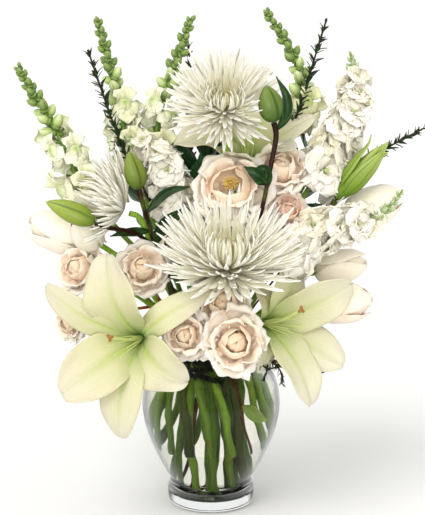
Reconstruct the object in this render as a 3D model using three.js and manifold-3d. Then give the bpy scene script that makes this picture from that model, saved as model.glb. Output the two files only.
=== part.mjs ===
// A mixed white bouquet in a footed glass vase: three open lilies with their buds, spider mums,
// spray roses, tulips, snapdragons, stocks and greenery, with every stem standing in the water.
// Millimetres, +Z up, -Y towards the viewer. The origin is the centre of the vase's underside.

import * as THREE from 'three';
import { mergeVertices } from 'three/addons/utils/BufferGeometryUtils.js';
import Module from 'manifold-3d';

const wasm = await Module();
wasm.setup();

// ---------------------------------------------------------------- driving dimensions

const CLEARANCE = 0.3; // the gap that two touching pieces keep
const LEAST_GAP = 0.25; // a crowded petal may come this near its neighbour
const GOLDEN_ANGLE = 137.5;
const PETAL_THICKNESS = 0.8;
const LEAF_THICKNESS = 0.9;
const EASING_STEPS = 7; // how many times a crowded petal or leaf is drawn in before it is left out

const VASE = { foot: 44.5, body: 70, bodyHeight: 108, neck: 42.5, neckHeight: 160, rim: 50, height: 176 };
const VASE_SIDES = 24;
const VASE_WALL = 3;
const VASE_FLOOR = 10;
const WATER_TOP = 148;

// The stems stand straight from their cut ends to a ring of places in the vase's neck. A place is
// [ring, degrees from the right-hand side]; below it the bunch spreads and turns.
const NECK_PLANE = 165;
const TWIST_PER_MM = 0.3;
const STEM_SIDES = 5;
const RINGS = {
	middle: { radius: 0, spread: 1, end: 12 },
	inner: { radius: 9.5, spread: 1.6, end: 12 },
	outer: { radius: 21.5, spread: 1.35, end: 14 },
	glass: { radius: 33, spread: 1.5, end: 62 },
};

// Every flower: the middle of its base, the way it faces and its size.
const LILY = {
	left: {
		at: [-64, -62, 186], faces: [-0.42, -0.9, 0.02],
		tips: [[-96, -82, 268], [-4, -78, 236], [-25, -98, 150], [-86, -92, 95], [-140, -95, 137], [-158, -62, 234]],
	},
	right: {
		at: [48, -54, 198], faces: [0.55, -0.8, 0.1],
		tips: [[135, -62, 236], [127, -78, 164], [96, -92, 128], [45, -70, 153], [43, -45, 236], [79, -30, 257]],
	},
	back: {
		at: [36, 15, 335], faces: [0, -0.4, 0.9],
		tips: [[-35, 8, 367], [5, 78, 385], [70, 84, 382], [102, 10, 393], [80, -32, 365], [20, -52, 362]],
	},
};
const BUD = {
	upright: { at: [-69, -45, 326], faces: [-9, 0, 36], length: 38, radius: 10.5 },
	left: { at: [-110, -57, 296], faces: [-47, 0, 20], length: 51, radius: 10.5 },
	tall: { at: [59, -60, 391], faces: [-7, -2, 32], length: 36, radius: 12.5 },
	opening: { at: [122, -15, 312], faces: [47, -5, 60], length: 76, radius: 12, split: 3 },
};
const TULIP = {
	left: { at: [-122, 6, 268], faces: [-60, -8, 20], length: 64, radius: 20 },
	small: { at: [-115, -18, 264], faces: [-12, -14, 34], length: 40, radius: 15 },
	fringed: { at: [97, -34, 215], faces: [59, -14, 0], length: 61, radius: 20 },
	right: { at: [103, 8, 236], faces: [53, -6, 13], length: 55, radius: 17 },
	far: { at: [133, 0, 291], faces: [56, 0, 25], length: 61, radius: 20 },
};
const MUM = {
	top: { at: [14, -26, 400], faces: [0, -0.82, 0.57], radius: 55, opened: 76 },
	front: { at: [16, -63, 249], faces: [0, -0.6, 0.8], radius: 70, opened: 72 },
	left: { at: [-80, -13, 299], faces: [-0.8, -0.3, 0.4], radius: 56, opened: 62 },
};
const ROSE = {
	left: { at: [-124, -15, 241], faces: [-0.55, -0.75, 0.35], radius: 25 },
	small: { at: [-133, -33, 195], faces: [-0.6, -0.8, 0], radius: 18 },
	middle: { at: [-68, -28, 242], faces: [0.1, -0.85, 0.5], radius: 25 },
	low: { at: [-24, -74, 192], faces: [-0.05, -0.97, 0.1], radius: 23 },
	under: { at: [10, -62, 218], faces: [0.05, -0.95, 0.3], radius: 27 },
	front: { at: [21, -85, 185], faces: [0.1, -0.95, 0.25], radius: 30 },
	open: { at: [21, -33, 321], faces: [-0.1, -0.8, 0.55], radius: 33 },
	high: { at: [66, -20, 335], faces: [0.1, -0.7, 0.7], radius: 28 },
	blush: { at: [71, -31, 301], faces: [0.3, -0.85, 0.3], radius: 20 },
};

// Every plant that stands in the vase: its place, its stem's radius, and the points it passes.
// A stalk or a leaf leaves the main stem at a height.
const PLANTS = {
	lily_left: {
		place: ['glass', 216], radius: 4,
		through: [[-40, -18, 225], [-52, -8, 258], [-60, -16, 284]], to: BUD.upright,
		stalks: [
			{ height: 182, through: [], to: LILY.left },
			{ height: 262, through: [[-74, -26, 281]], to: BUD.left },
		],
		leaves: [
			{ height: 300, tip: [-18, -34, 328], width: 4.5 },
			{ height: 258, tip: [-23, -52, 310], width: 9 },
			{ height: 280, tip: [-97, -46, 281], width: 4.5 },
		],
	},
	lily_right: {
		place: ['outer', 306], radius: 4,
		through: [[22, -14, 210], [50, -10, 255], [90, -14, 292]], to: BUD.opening,
		stalks: [{ height: 182, through: [], to: LILY.right }],
		leaves: [],
	},
	lily_back: {
		place: ['inner', 315], radius: 4, through: [[16, 4, 240]], to: LILY.back,
		stalks: [{ height: 205, through: [[28, -30, 240], [47, -64, 305], [56, -66, 350]], to: BUD.tall }],
		leaves: [],
	},
	tulip_left: { place: ['glass', 144], radius: 3.2, through: [[-45, 16, 195], [-80, 15, 238]], to: TULIP.left },
	tulip_small: { place: ['glass', 168], radius: 3, through: [[-50, -2, 195], [-82, -8, 232]], to: TULIP.small },
	tulip_fringed: { place: ['glass', 312], radius: 3.2, through: [[42, -23, 188], [66, -29, 206]], to: TULIP.fringed },
	tulip_right: { place: ['glass', 336], radius: 3.2, through: [[48, -10, 192], [72, 1, 217]], to: TULIP.right },
	tulip_far: { place: ['glass', 0], radius: 3.2, through: [[60, 6, 205], [95, 4, 262]], to: TULIP.far },
	mum_top: { place: ['middle', 0], radius: 3.2, through: [[8, -2, 260], [13, -14, 335], [14, -11, 392]], to: MUM.top },
	mum_front: { place: ['glass', 264], radius: 3.2, through: [[18, -40, 205], [20, -54, 232]], to: MUM.front },
	mum_left: { place: ['outer', 198], radius: 3.2, through: [[-50, 0, 235]], to: MUM.left },
	rose_spray_left: {
		place: ['glass', 192], radius: 3, through: [[-70, -15, 215], [-100, -12, 232]], to: ROSE.left,
		stalks: [
			{ height: 190, through: [[-58, -20, 225]], to: ROSE.middle },
			{ height: 205, through: [[-105, -22, 200]], to: ROSE.small },
		],
	},
	rose_spray_front: {
		place: ['glass', 240], radius: 3, through: [[-6, -42, 195]], to: ROSE.under,
		stalks: [
			{ height: 182, through: [], to: ROSE.low },
			{ height: 186, through: [[8, -54, 189]], to: ROSE.front },
		],
	},
	rose_spray_back: {
		place: ['outer', 270], radius: 3, through: [[5, -25, 240], [15, -25, 290]], to: ROSE.open,
		stalks: [
			{ height: 260, through: [[45, -15, 305]], to: ROSE.high },
			{ height: 245, through: [[40, -22, 275]], to: ROSE.blush },
		],
	},
	snapdragon_left: {
		place: ['glass', 120], radius: 3, through: [[-60, 18, 240], [-126, 10, 319], [-150, 15, 369], [-191, 20, 440]],
		lowest: 300,
	},
	snapdragon_middle: {
		place: ['outer', 162], radius: 3, through: [[-48, 22, 260], [-83, 25, 358], [-94, 35, 413], [-113, 40, 485]],
		lowest: 345,
	},
	snapdragon_back: {
		place: ['outer', 126], radius: 3, through: [[-30, 32, 260], [-57, 35, 357], [-44, 45, 417], [-21, 55, 487]],
		lowest: 340,
	},
	snapdragon_right: {
		place: ['inner', 45], radius: 3,
		through: [[30, 25, 260], [70, 38, 340], [92, 40, 423], [83, 45, 452], [57, 55, 494]], lowest: 390,
	},
	stock_left: {
		place: ['outer', 234], radius: 3.2,
		through: [[-22, -10, 230], [-31, -5, 291], [-45, 0, 345], [-60, 0, 362], [-83, 0, 372]], lowest: 275, size: 17,
	},
	stock_right: {
		place: ['outer', 18], radius: 3.2,
		through: [[55, 10, 250], [95, -2, 320], [125, 0, 370], [142, 8, 414], [137, 10, 456]], lowest: 330, size: 17,
	},
	stock_front: {
		place: ['outer', 342], radius: 3.2,
		through: [[35, -12, 200], [60, -30, 245], [86, -44, 277], [139, -40, 294], [170, -32, 305], [186, -30, 324]],
		lowest: 262, size: 19,
	},
	sprig_left: {
		place: ['inner', 135], radius: 1.8, through: [[-35, 5, 255], [-88, 5, 365], [-105, 8, 410], [-121, 10, 458]],
		lowest: 350, steps: 14,
	},
	sprig_back: {
		place: ['outer', 90], radius: 1.8, through: [[-15, 50, 270], [-22, 50, 366], [-23, 60, 462]],
		lowest: 340, steps: 14,
	},
	sprig_tall: {
		place: ['outer', 54], radius: 1.8, through: [[50, 25, 280], [87, 20, 398], [114, 30, 485]],
		lowest: 370, steps: 14,
	},
	sprig_right: {
		place: ['glass', 24], radius: 1.8, through: [[80, 12, 250], [135, 5, 330], [167, 0, 358], [210, 0, 382]],
		lowest: 340, steps: 14,
	},
	sprig_low: {
		place: ['glass', 288], radius: 1.6, through: [[31, -47, 183], [62, -68, 163], [106, -64, 150]],
		lowest: 183, steps: 14,
	},
	foliage_left: {
		place: ['glass', 96], radius: 2.4, through: [[-20, 50, 220], [-60, 66, 290], [-75, 72, 350]], lowest: 215, leaves: 5,
	},
	foliage_back: {
		place: ['glass', 72], radius: 2.4, through: [[15, 56, 230], [22, 80, 300], [15, 85, 365]], lowest: 210, leaves: 5,
	},
	foliage_right: {
		place: ['glass', 48], radius: 2.4, through: [[40, 45, 220], [80, 62, 280], [105, 65, 345]], lowest: 210, leaves: 5,
	},
	foliage_middle: {
		place: ['inner', 225], radius: 2.4, through: [[-8, 5, 230], [-12, 22, 290], [-8, 18, 350]], lowest: 200, leaves: 5,
	},
};

const COLOUR = {
	glass: 0xdfe8e2,
	water: 0xe6efe6,
	lily: 0xf1f2cf,
	pistil: 0xc9d67a,
	bud: 0x8fae3c,
	tulip: 0xf3eee0,
	mum: 0xf6f2dc,
	rose: 0xf6dfc9,
	snapdragon: 0xc3d68f,
	stock: 0xf4f4ec,
	stem: 0x5f8a3a,
	sprig: 0x2c4424,
	foliage: 0x2f5a2c,
};

// ---------------------------------------------------------------- small geometry helpers

const UP = new THREE.Vector3(0, 0, 1);
const radians = THREE.MathUtils.degToRad;
const vector = ([x, y, z]) => new THREE.Vector3(x, y, z);

const polar = (radius, degrees, height) =>
	new THREE.Vector3(radius * Math.cos(radians(degrees)), radius * Math.sin(radians(degrees)), height);

// A repeatable random number generator, from 0 to 1.
function seeded(seed) {
	let state = seed;
	return () => {
		state = (state * 1664525 + 1013904223) % 4294967296;
		return state / 4294967296;
	};
}

// The frame of a piece that grows along its own +Z: its place, and the way that it faces.
function placed({ at, faces }) {
	const facing = new THREE.Quaternion().setFromUnitVectors(UP, vector(faces).normalize());
	return new THREE.Matrix4().compose(vector(at), facing, new THREE.Vector3(1, 1, 1));
}

// A closed geometry as a solid for joining and cutting.
function solidOf(geometry) {
	const bare = geometry.clone();
	bare.deleteAttribute('normal');
	bare.deleteAttribute('uv');
	const merged = mergeVertices(bare, 1e-4);
	return new wasm.Manifold(new wasm.Mesh({
		numProp: 3,
		vertProperties: new Float32Array(merged.attributes.position.array),
		triVerts: new Uint32Array(merged.index.array),
	}));
}

function geometryOf(solid) {
	const { vertProperties, triVerts } = solid.getMesh();
	const geometry = new THREE.BufferGeometry();
	geometry.setAttribute('position', new THREE.BufferAttribute(vertProperties, 3));
	geometry.setIndex(new THREE.BufferAttribute(triVerts, 1));
	geometry.computeVertexNormals();
	return geometry;
}

// Fuses solids into one body, and drops any loose scrap.
function fused(solids) {
	const bodies = solids.reduce((whole, next) => whole.add(next)).decompose();
	return bodies.sort((a, b) => b.volume() - a.volume())[0];
}

function indexedGeometry(position, index) {
	const geometry = new THREE.BufferGeometry();
	geometry.setAttribute('position', new THREE.Float32BufferAttribute(position, 3));
	geometry.setIndex(index);
	return geometry;
}

// ---------------------------------------------------------------- shapes that repeat

// How a petal's half width changes along it: from its base, through its widest place, to its tip.
const outline = (base, widest, bluntness) => (u) => (u < widest
	? base + (1 - base) * Math.sin(Math.PI / 2 * u / widest)
	: Math.cos(Math.PI / 2 * (u - widest) / (1 - widest)) ** bluntness);

const LILY_OUTLINE = outline(0.1, 0.5, 0.75);
const ROUND_OUTLINE = (u) => outline(0.2, 0.55, 0.4)(0.92 * u);
const LEAF_OUTLINE = outline(0.15, 0.4, 1.1);

// A petal or leaf as a thin closed blade. Its rib follows [outward, upward] points from the flower's
// axis. A flat one is given its half width, kept inside a sector of so many degrees at its root; a
// wrapped one is bent round the axis by so many degrees each way. Cup lifts the edges.
function blade({ rib, width, wrap = 0, sector = 80, shape, cup = 0, along = 4, thickness = PETAL_THICKNESS }) {
	const curve = new THREE.SplineCurve(rib.map(([x, y]) => new THREE.Vector2(x, y)));
	const across = 2;
	const narrowest = 0.7;
	const position = [];
	for (const side of [0.5, -0.5]) {
		for (let i = 0; i <= along; i++) {
			const u = i / along;
			const point = curve.getPoint(u);
			const tangent = curve.getTangent(u);
			const half = wrap ? 0
				: Math.max(Math.min(width * shape(u), point.x * Math.tan(radians(sector))), narrowest);
			for (let j = 0; j <= across; j++) {
				const v = 2 * j / across - 1;
				const lift = cup * half * v * v + side * thickness;
				const out = point.x - tangent.y * lift;
				const turn = radians(wrap) * Math.max(shape(u), 0.04) * v;
				position.push(out * Math.cos(turn), half * v + out * Math.sin(turn), point.y + tangent.x * lift);
			}
		}
	}
	return stitched(position, along, across);
}

// Closes two equal grids of points, an upper and a lower face, into one thin solid.
function stitched(position, along, across) {
	const row = across + 1;
	const layer = row * (along + 1);
	const index = [];
	for (let i = 0; i < along; i++) {
		for (let j = 0; j < across; j++) {
			const a = i * row + j;
			const [b, c, d] = [a + row, a + row + 1, a + 1];
			index.push(a, b, c, a, c, d);
			index.push(a + layer, c + layer, b + layer, a + layer, d + layer, c + layer);
		}
	}
	const edge = [];
	for (let i = 0; i < along; i++) edge.push(i * row);
	for (let j = 0; j < across; j++) edge.push(along * row + j);
	for (let i = along; i > 0; i--) edge.push(i * row + across);
	for (let j = across; j > 0; j--) edge.push(j);
	edge.forEach((a, n) => {
		const b = edge[(n + 1) % edge.length];
		index.push(a + layer, b + layer, b, a + layer, b, a);
	});
	return indexedGeometry(position, index);
}

// A three-sided needle from root to tip, thickest round a belly that may stand off the line.
function needle(root, belly, tip, radius) {
	const along = tip.clone().sub(root).normalize();
	const aside = Math.abs(along.z) < 0.9 ? UP : new THREE.Vector3(1, 0, 0);
	const across = new THREE.Vector3().crossVectors(along, aside).normalize();
	const ring = [0, 120, 240].map((degrees) =>
		across.clone().applyAxisAngle(along, radians(degrees)).multiplyScalar(radius).add(belly));
	const position = [root, ...ring, tip].flatMap((p) => p.toArray());
	return indexedGeometry(position, [0, 2, 1, 0, 3, 2, 0, 1, 3, 4, 1, 2, 4, 2, 3, 4, 3, 1]);
}

// A small floret: a tube that opens from a point into a lobed, dished face.
function floret(radius, length, lobes) {
	const sides = 2 * lobes;
	const rings = [[0.3, 0.55], [1, 1]];
	const position = [0, 0, 0, 0, 0, length * 0.8];
	for (const [share, height] of rings) {
		for (let i = 0; i < sides; i++) {
			const reach = i % 2 && share === 1 ? 0.7 : 1;
			position.push(...polar(radius * share * reach, 360 * i / sides, length * height * (2 - reach)).toArray());
		}
	}
	const index = [];
	for (let i = 0; i < sides; i++) {
		const a = 2 + i;
		const b = 2 + (i + 1) % sides;
		index.push(0, b, a, a, b, b + sides, a, b + sides, a + sides, a + sides, b + sides, 1);
	}
	return indexedGeometry(position, index);
}

// A bud that stands on the origin: an egg with three blunt ribs.
function bud(length, radius, rings = 5, fullness = 0.75) {
	const profile = [];
	for (let i = 0; i <= rings; i++) {
		const u = i / rings;
		profile.push(new THREE.Vector2(radius * Math.sin(Math.PI * u ** fullness) ** 0.7, length * u));
	}
	const geometry = new THREE.LatheGeometry(profile, 9).rotateX(Math.PI / 2);
	const position = geometry.attributes.position;
	for (let i = 0; i < position.count; i++) {
		const rib = 1 + 0.08 * Math.cos(3 * Math.atan2(position.getY(i), position.getX(i)));
		position.setXY(i, position.getX(i) * rib, position.getY(i) * rib);
	}
	return geometry;
}

const ball = (radius, height, stretch = 1, sides = 6, rings = 4) =>
	new THREE.SphereGeometry(radius, sides, rings).rotateX(Math.PI / 2).scale(1, 1, stretch).translate(0, 0, height);

const cone = (topRadius, bottomRadius, height, sides) =>
	new THREE.CylinderGeometry(topRadius, bottomRadius, height, sides).rotateX(Math.PI / 2)
		.translate(0, 0, height / 2);

// ---------------------------------------------------------------- stems

const MAIN_STEPS = 6;
const STALK_STEPS = 4;
const NECK_RISE = 14; // how far a stem runs on straight above the neck
const STRAIGHT_END = 11; // how far a stalk runs straight into its flower's base

// A stem's path: straight from its cut end to the neck, then a smooth curve through its points.
class StemPath extends THREE.Curve {
	constructor(cutEnd, points, straightShare = 0) {
		super();
		this.cutEnd = cutEnd;
		this.neck = points[0];
		this.upper = new THREE.CatmullRomCurve3(points, false, 'centripetal');
		this.straightShare = straightShare;
	}

	getPoint(t) {
		const share = this.straightShare;
		if (t < share) return this.cutEnd.clone().lerp(this.neck, t / share);
		return this.upper.getPointAt((t - share) / (1 - share));
	}

	getPointAt(t) {
		return this.getPoint(t);
	}

	getTangentAt(t) {
		return this.getTangent(t);
	}

	// Where along the path it first reaches a height.
	shareAt(height) {
		const sample = 0.005;
		let t = this.straightShare;
		while (t < 1 - sample && this.getPoint(t).z < height) t += sample;
		return t;
	}
}

function rod(path, radius, steps) {
	const corners = [];
	for (let i = 0; i < STEM_SIDES; i++) corners.push(polar(radius, 360 * i / STEM_SIDES, 0));
	const section = new THREE.Shape(corners.map((corner) => new THREE.Vector2(corner.x, corner.y)));
	return new THREE.ExtrudeGeometry(section, { steps, extrudePath: path, bevelEnabled: false });
}

const ringOf = (plant) => RINGS[plant.place[0]];
const neckPlace = (plant) => polar(ringOf(plant).radius, plant.place[1], NECK_PLANE);

// The cut end: spread out from the neck and turned on by the twist of the bunch.
function cutEnd(plant) {
	const { radius, spread, end } = ringOf(plant);
	return polar(radius * spread, plant.place[1] + TWIST_PER_MM * (NECK_PLANE - end), end);
}

// The last points of a stalk, so that it meets its flower's base square.
function arrival(flower) {
	const axis = vector(flower.faces).normalize();
	const end = vector(flower.at).addScaledVector(axis, -CLEARANCE);
	return [end.clone().addScaledVector(axis, -STRAIGHT_END), end];
}

const stepsOf = (plant) => plant.steps ?? MAIN_STEPS;

function mainPath(plant) {
	const neck = neckPlace(plant);
	const rise = neck.clone().sub(cutEnd(plant)).normalize().multiplyScalar(NECK_RISE).add(neck);
	const last = plant.to ? arrival(plant.to) : [];
	return new StemPath(cutEnd(plant), [neck, rise, ...plant.through.map(vector), ...last], 1 / stepsOf(plant));
}

function stalkPath(main, { height, through, to }) {
	return new StemPath(null, [main.getPoint(main.shareAt(height)), ...through.map(vector), ...arrival(to)]);
}

// ---------------------------------------------------------------- placing without crossing

const neighbours = []; // every solid placed so far, with its box and the name of its node
const bouquet = new THREE.Group();

function boxesMeet(a, b) {
	return [0, 1, 2].every((k) => a.min[k] < b.max[k] + CLEARANCE && b.min[k] < a.max[k] + CLEARANCE);
}

function obstacle(solid, name) {
	const box = solid.boundingBox();
	return neighbours.find((other) => other.name !== name && boxesMeet(box, other.box)
		&& solid.minGap(other.solid, CLEARANCE) < LEAST_GAP);
}

function remember(solid, name) {
	neighbours.push({ solid, name, box: solid.boundingBox() });
}

function addMesh(name, solid, matrix, colour, roughness = 0.6) {
	const material = new THREE.MeshStandardMaterial({ color: colour, roughness, metalness: 0 });
	const mesh = new THREE.Mesh(geometryOf(solid), material);
	mesh.name = name;
	matrix.decompose(mesh.position, mesh.quaternion, mesh.scale);
	bouquet.add(mesh);
}

// Adds one node from its parts. Each part is a function of how far it is drawn in, from 0 to 1: it is
// drawn in step by step until it is clear of its neighbours, as a crowded petal is pressed back.
function grow(name, matrix, colour, parts, rods = []) {
	const kept = [...rods];
	for (const part of parts) {
		for (let step = 0; step < EASING_STEPS; step++) {
			const solid = solidOf(part(step / EASING_STEPS));
			const inPlace = solid.transform(matrix.elements);
			if (!obstacle(inPlace, name)) {
				kept.push(solid);
				remember(inPlace, name);
				break;
			}
		}
	}
	addMesh(name, fused(kept), matrix, colour);
}

// Adds one node that grows spikes from a closed shape: each of its faces that is given a tip rises to
// it, drawn in as a part is, and the others stay as they are.
function growSpikes(name, matrix, colour, geometry, tipOf) {
	const bare = geometry.clone();
	bare.deleteAttribute('normal');
	bare.deleteAttribute('uv');
	const core = mergeVertices(bare, 1e-4);
	const points = core.attributes.position;
	const position = [...points.array];
	const index = [];
	for (let i = 0; i < core.index.count; i += 3) {
		const face = [0, 1, 2].map((k) => core.index.getX(i + k));
		const corners = face.map((k) => new THREE.Vector3().fromBufferAttribute(points, k));
		const triangle = new THREE.Triangle(...corners);
		const middle = triangle.getMidpoint(new THREE.Vector3());
		const normal = triangle.getNormal(new THREE.Vector3());
		const tip = firstClearTip(name, matrix, corners, (easing) => tipOf(middle, normal, easing));
		if (tip) {
			const apex = position.length / 3;
			position.push(...tip.toArray());
			face.forEach((k, n) => index.push(k, face[(n + 1) % 3], apex));
		} else {
			index.push(...face);
		}
	}
	addMesh(name, solidOf(indexedGeometry(position, index)), matrix, colour);
}

function firstClearTip(name, matrix, corners, tipAt) {
	for (let step = 0; step < EASING_STEPS; step++) {
		const tip = tipAt(step / EASING_STEPS);
		if (!tip) return null;
		const position = [...corners, tip].flatMap((p) => p.toArray());
		const spike = solidOf(indexedGeometry(position, [0, 2, 1, 0, 1, 3, 1, 2, 3, 2, 0, 3]))
			.transform(matrix.elements);
		if (!obstacle(spike, name)) {
			remember(spike, name);
			return tip;
		}
	}
	return null;
}

// Every stem and stalk is laid before the flowers, which then keep clear of them.
const stems = new Map();

function layStem(plantName) {
	const plant = PLANTS[plantName];
	const main = mainPath(plant);
	const rods = [solidOf(rod(main, plant.radius, stepsOf(plant)))];
	for (const stalk of plant.stalks ?? []) {
		rods.push(solidOf(rod(stalkPath(main, stalk), plant.radius * 0.65, STALK_STEPS)));
	}
	const name = nodeName(plantName);
	for (const solid of rods) {
		const other = obstacle(solid, name);
		if (other) throw new Error(`${name} meets ${other.name}`);
		remember(solid, name);
	}
	stems.set(plantName, { main, rods });
}

// A plant whose flowers are nodes of their own keeps its stem in a node called its stem.
const nodeName = (plantName) => (PLANTS[plantName].to ? `${plantName}_stem` : plantName);

// ---------------------------------------------------------------- vase and water

function lathe(points) {
	const profile = points.map(([r, z]) => new THREE.Vector2(r, z));
	return new THREE.LatheGeometry(profile, VASE_SIDES).rotateX(Math.PI / 2);
}

const vaseOutside = () => [
	[VASE.foot - 5, 0], [VASE.foot, 7], [VASE.foot, 18], [VASE.foot - 2.5, 26], [56, 52], [66.5, 80],
	[VASE.body, VASE.bodyHeight], [64, 133], [VASE.neck, VASE.neckHeight], [VASE.rim, VASE.height],
];

// The hollow, from the middle of the floor up to the rim.
const vaseInside = () => [
	[34, VASE_FLOOR], [42, 29], [52.5, 52], [63, 80], [VASE.body - VASE_WALL, VASE.bodyHeight],
	[60.5, 132], [VASE.neck - VASE_WALL, VASE.neckHeight], [VASE.rim - VASE_WALL, VASE.height],
];

function makeVase() {
	const profile = [[0, 0], ...vaseOutside(), ...vaseInside().reverse(), [0, VASE_FLOOR]];
	const solid = solidOf(lathe(profile));
	addMesh('vase', solid, new THREE.Matrix4(), COLOUR.glass, 0.05);
	remember(solid, 'vase');
}

// The water follows the inside of the glass, and each stem stands in a plain hole in it.
function makeWater() {
	const inside = vaseInside();
	const wet = inside.filter(([, z]) => z < WATER_TOP);
	const [r0, z0] = wet.at(-1);
	const [r1, z1] = inside[wet.length];
	const surface = THREE.MathUtils.lerp(r0, r1, (WATER_TOP - z0) / (z1 - z0));
	const side = [...wet, [surface, WATER_TOP]].map(([r, z]) => [r - CLEARANCE / Math.cos(Math.PI / VASE_SIDES), z]);
	side[0][1] += CLEARANCE;
	let water = solidOf(lathe([[0, side[0][1]], ...side, [0, WATER_TOP]]));
	for (const plant of Object.values(PLANTS)) {
		const neck = neckPlace(plant);
		const bottom = cutEnd(plant);
		const slack = bottom.clone().sub(neck).normalize().multiplyScalar(CLEARANCE);
		const hole = new StemPath(null, [bottom.add(slack), neck]);
		const radius = (plant.radius + CLEARANCE) / Math.cos(Math.PI / STEM_SIDES);
		water = water.subtract(solidOf(rod(hole, radius, 1)));
	}
	addMesh('water', water, new THREE.Matrix4(), COLOUR.water, 0.02);
}

// ---------------------------------------------------------------- flowers

const stretched = (points, out, up) => points.map(([x, z]) => [x * out, z * up]);

// A lily petal's rib rises in a trumpet and arches over to its tip.
const LILY_ARCH = [[0.04, 0.04], [0.09, 0.17], [0.25, 0.34], [0.52, 0.4], [0.8, 0.24], [1, 0]];

// An open lily: three broad inner petals between three narrower outer ones, from one throat.
function makeLily(name, lily) {
	const frame = placed(lily);
	const toLocal = frame.clone().invert();
	const parts = [() => cone(7, 3, 12, 6)];
	lily.tips.forEach((tip, i) => {
		const end = vector(tip).applyMatrix4(toLocal);
		const reach = Math.hypot(end.x, end.y);
		const inner = i % 2 === 0;
		const rise = reach * (inner ? 1 : 0.9);
		parts.push((easing) => blade({
			rib: LILY_ARCH.map(([x, z]) => [x * reach * (1 - 0.7 * easing), z * rise + end.z * x * x]),
			width: reach * (inner ? 0.31 : 0.2) * (1 - 0.5 * easing),
			sector: inner ? 33 : 23,
			shape: LILY_OUTLINE,
			cup: inner ? 0.18 : -0.08,
		}).rotateZ(Math.atan2(end.y, end.x)));
	});
	grow(`${name}_bloom`, frame, COLOUR.lily, parts);
}

// The lily's style with its three-lobed stigma, and six filaments round it.
function makePistil(name, lily) {
	const foot = new THREE.Vector3(0, 0, 12 + CLEARANCE);
	const height = 66;
	const parts = [() => needle(foot, new THREE.Vector3(2, 0, height / 2), new THREE.Vector3(7, 0, height + 5), 2.4)];
	for (let i = 0; i < 3; i++) {
		parts.push(() => ball(2.6, 0, 0.9, 4, 3).translate(2.2, 0, 0).rotateZ(radians(120 * i))
			.translate(6, 0, height - 3));
	}
	for (let i = 0; i < 6; i++) {
		parts.push((easing) => needle(foot, polar(2 + 6 * (1 - easing), 60 * i + 30, height * 0.45),
			polar(3 + 15 * (1 - easing), 60 * i + 30, height * 0.8), 1.2));
	}
	grow(`${name}_pistil`, placed(lily), COLOUR.pistil, parts);
}

// A lily bud; one that is opening has its petals standing off at the tip.
function makeBud(name, { at, faces, length, radius, split = 0 }) {
	const parts = [() => bud(length * (split ? 0.92 : 1), radius * (split ? 0.8 : 1))];
	for (let i = 0; i < split; i++) {
		parts.push((easing) => blade({
			rib: stretched([[0.2, 0.05], [1.05, 0.35], [1.1, 0.75], [1.45 - 0.5 * easing, 1]], radius, length),
			wrap: 42,
			shape: LEAF_OUTLINE,
			along: 3,
		}).rotateZ(radians(60 + 120 * i)));
	}
	grow(name, placed({ at, faces }), COLOUR.bud, parts);
}

const TULIP_RIB = [[0.12, 0.03], [0.76, 0.15], [1, 0.42], [0.88, 0.8], [0.5, 1]];

// A tulip: three outer petals wrapped round the closed inner ones.
function makeTulip(name, { at, faces, length, radius }) {
	const parts = [() => bud(length * 0.97, radius * 0.8, 5, 0.85)];
	for (let i = 0; i < 3; i++) {
		parts.push((easing) => blade({
			rib: stretched(TULIP_RIB, radius * (1 - 0.3 * easing), length * (1 - 0.1 * easing)),
			wrap: 56 * (1 - 0.4 * easing),
			shape: ROUND_OUTLINE,
			along: 3,
			thickness: 1.2,
		}).rotateZ(radians(120 * i + 30)));
	}
	grow(`${name}_bloom`, placed({ at, faces }), COLOUR.tulip, parts);
}

// A spider mum: quilled rays all over a small domed middle, bent towards the way that it faces.
function makeMum(name, { at, faces, radius, opened }) {
	const random = seeded(Math.round(radius));
	const core = new THREE.Vector3(0, 0, 7.5);
	const bareBelow = 118; // degrees from the way the bloom faces, past which no rays grow
	let unevenness = 1; // one value for each ray, kept while the ray is drawn in
	const middle = new THREE.IcosahedronGeometry(7.5, 2).translate(...core.toArray());
	growSpikes(`${name}_bloom`, placed({ at, faces }), COLOUR.mum, middle, (from, normal, easing) => {
		const out = from.clone().sub(core).normalize();
		const angle = THREE.MathUtils.radToDeg(out.angleTo(UP));
		if (angle > bareBelow) return null;
		const share = angle / bareBelow;
		const lean = opened * share * (1 - 0.3 * easing);
		if (easing === 0) unevenness = 0.9 + 0.16 * random();
		const length = radius * (0.62 + 0.38 * Math.sin(Math.PI / 2 * share)) * unevenness;
		const bearing = THREE.MathUtils.radToDeg(Math.atan2(out.y, out.x));
		const reach = length * (1 - 0.6 * easing);
		return polar(reach * Math.sin(radians(lean)), bearing, core.z + reach * Math.cos(radians(lean)));
	});
}

// Rings of rose petals from the heart outwards, as shares of the bloom's radius.
const ROSE_RINGS = [
	{ count: 3, rib: [[0.12, 0.2], [0.42, 0.3], [0.5, 0.65], [0.42, 0.95]], wrap: 54 },
	{ count: 4, rib: [[0.12, 0.12], [0.55, 0.16], [0.9, 0.42], [1, 0.62]], wrap: 42 },
];

function makeRose(name, { at, faces, radius }) {
	const parts = [() => ball(radius * 0.3, radius * 0.45, 1.5, 5, 4)];
	ROSE_RINGS.forEach(({ count, rib, wrap }, ring) => {
		for (let i = 0; i < count; i++) {
			parts.push((easing) => blade({
				rib: stretched(rib, radius * (1 - 0.45 * easing), radius),
				wrap: wrap * (1 - 0.3 * easing),
				shape: ROUND_OUTLINE,
				along: 2,
			}).rotateZ(radians(360 * i / count + 47 * ring)));
		}
	});
	grow(`${name}_bloom`, placed({ at, faces }), COLOUR.rose, parts);
}

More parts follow.
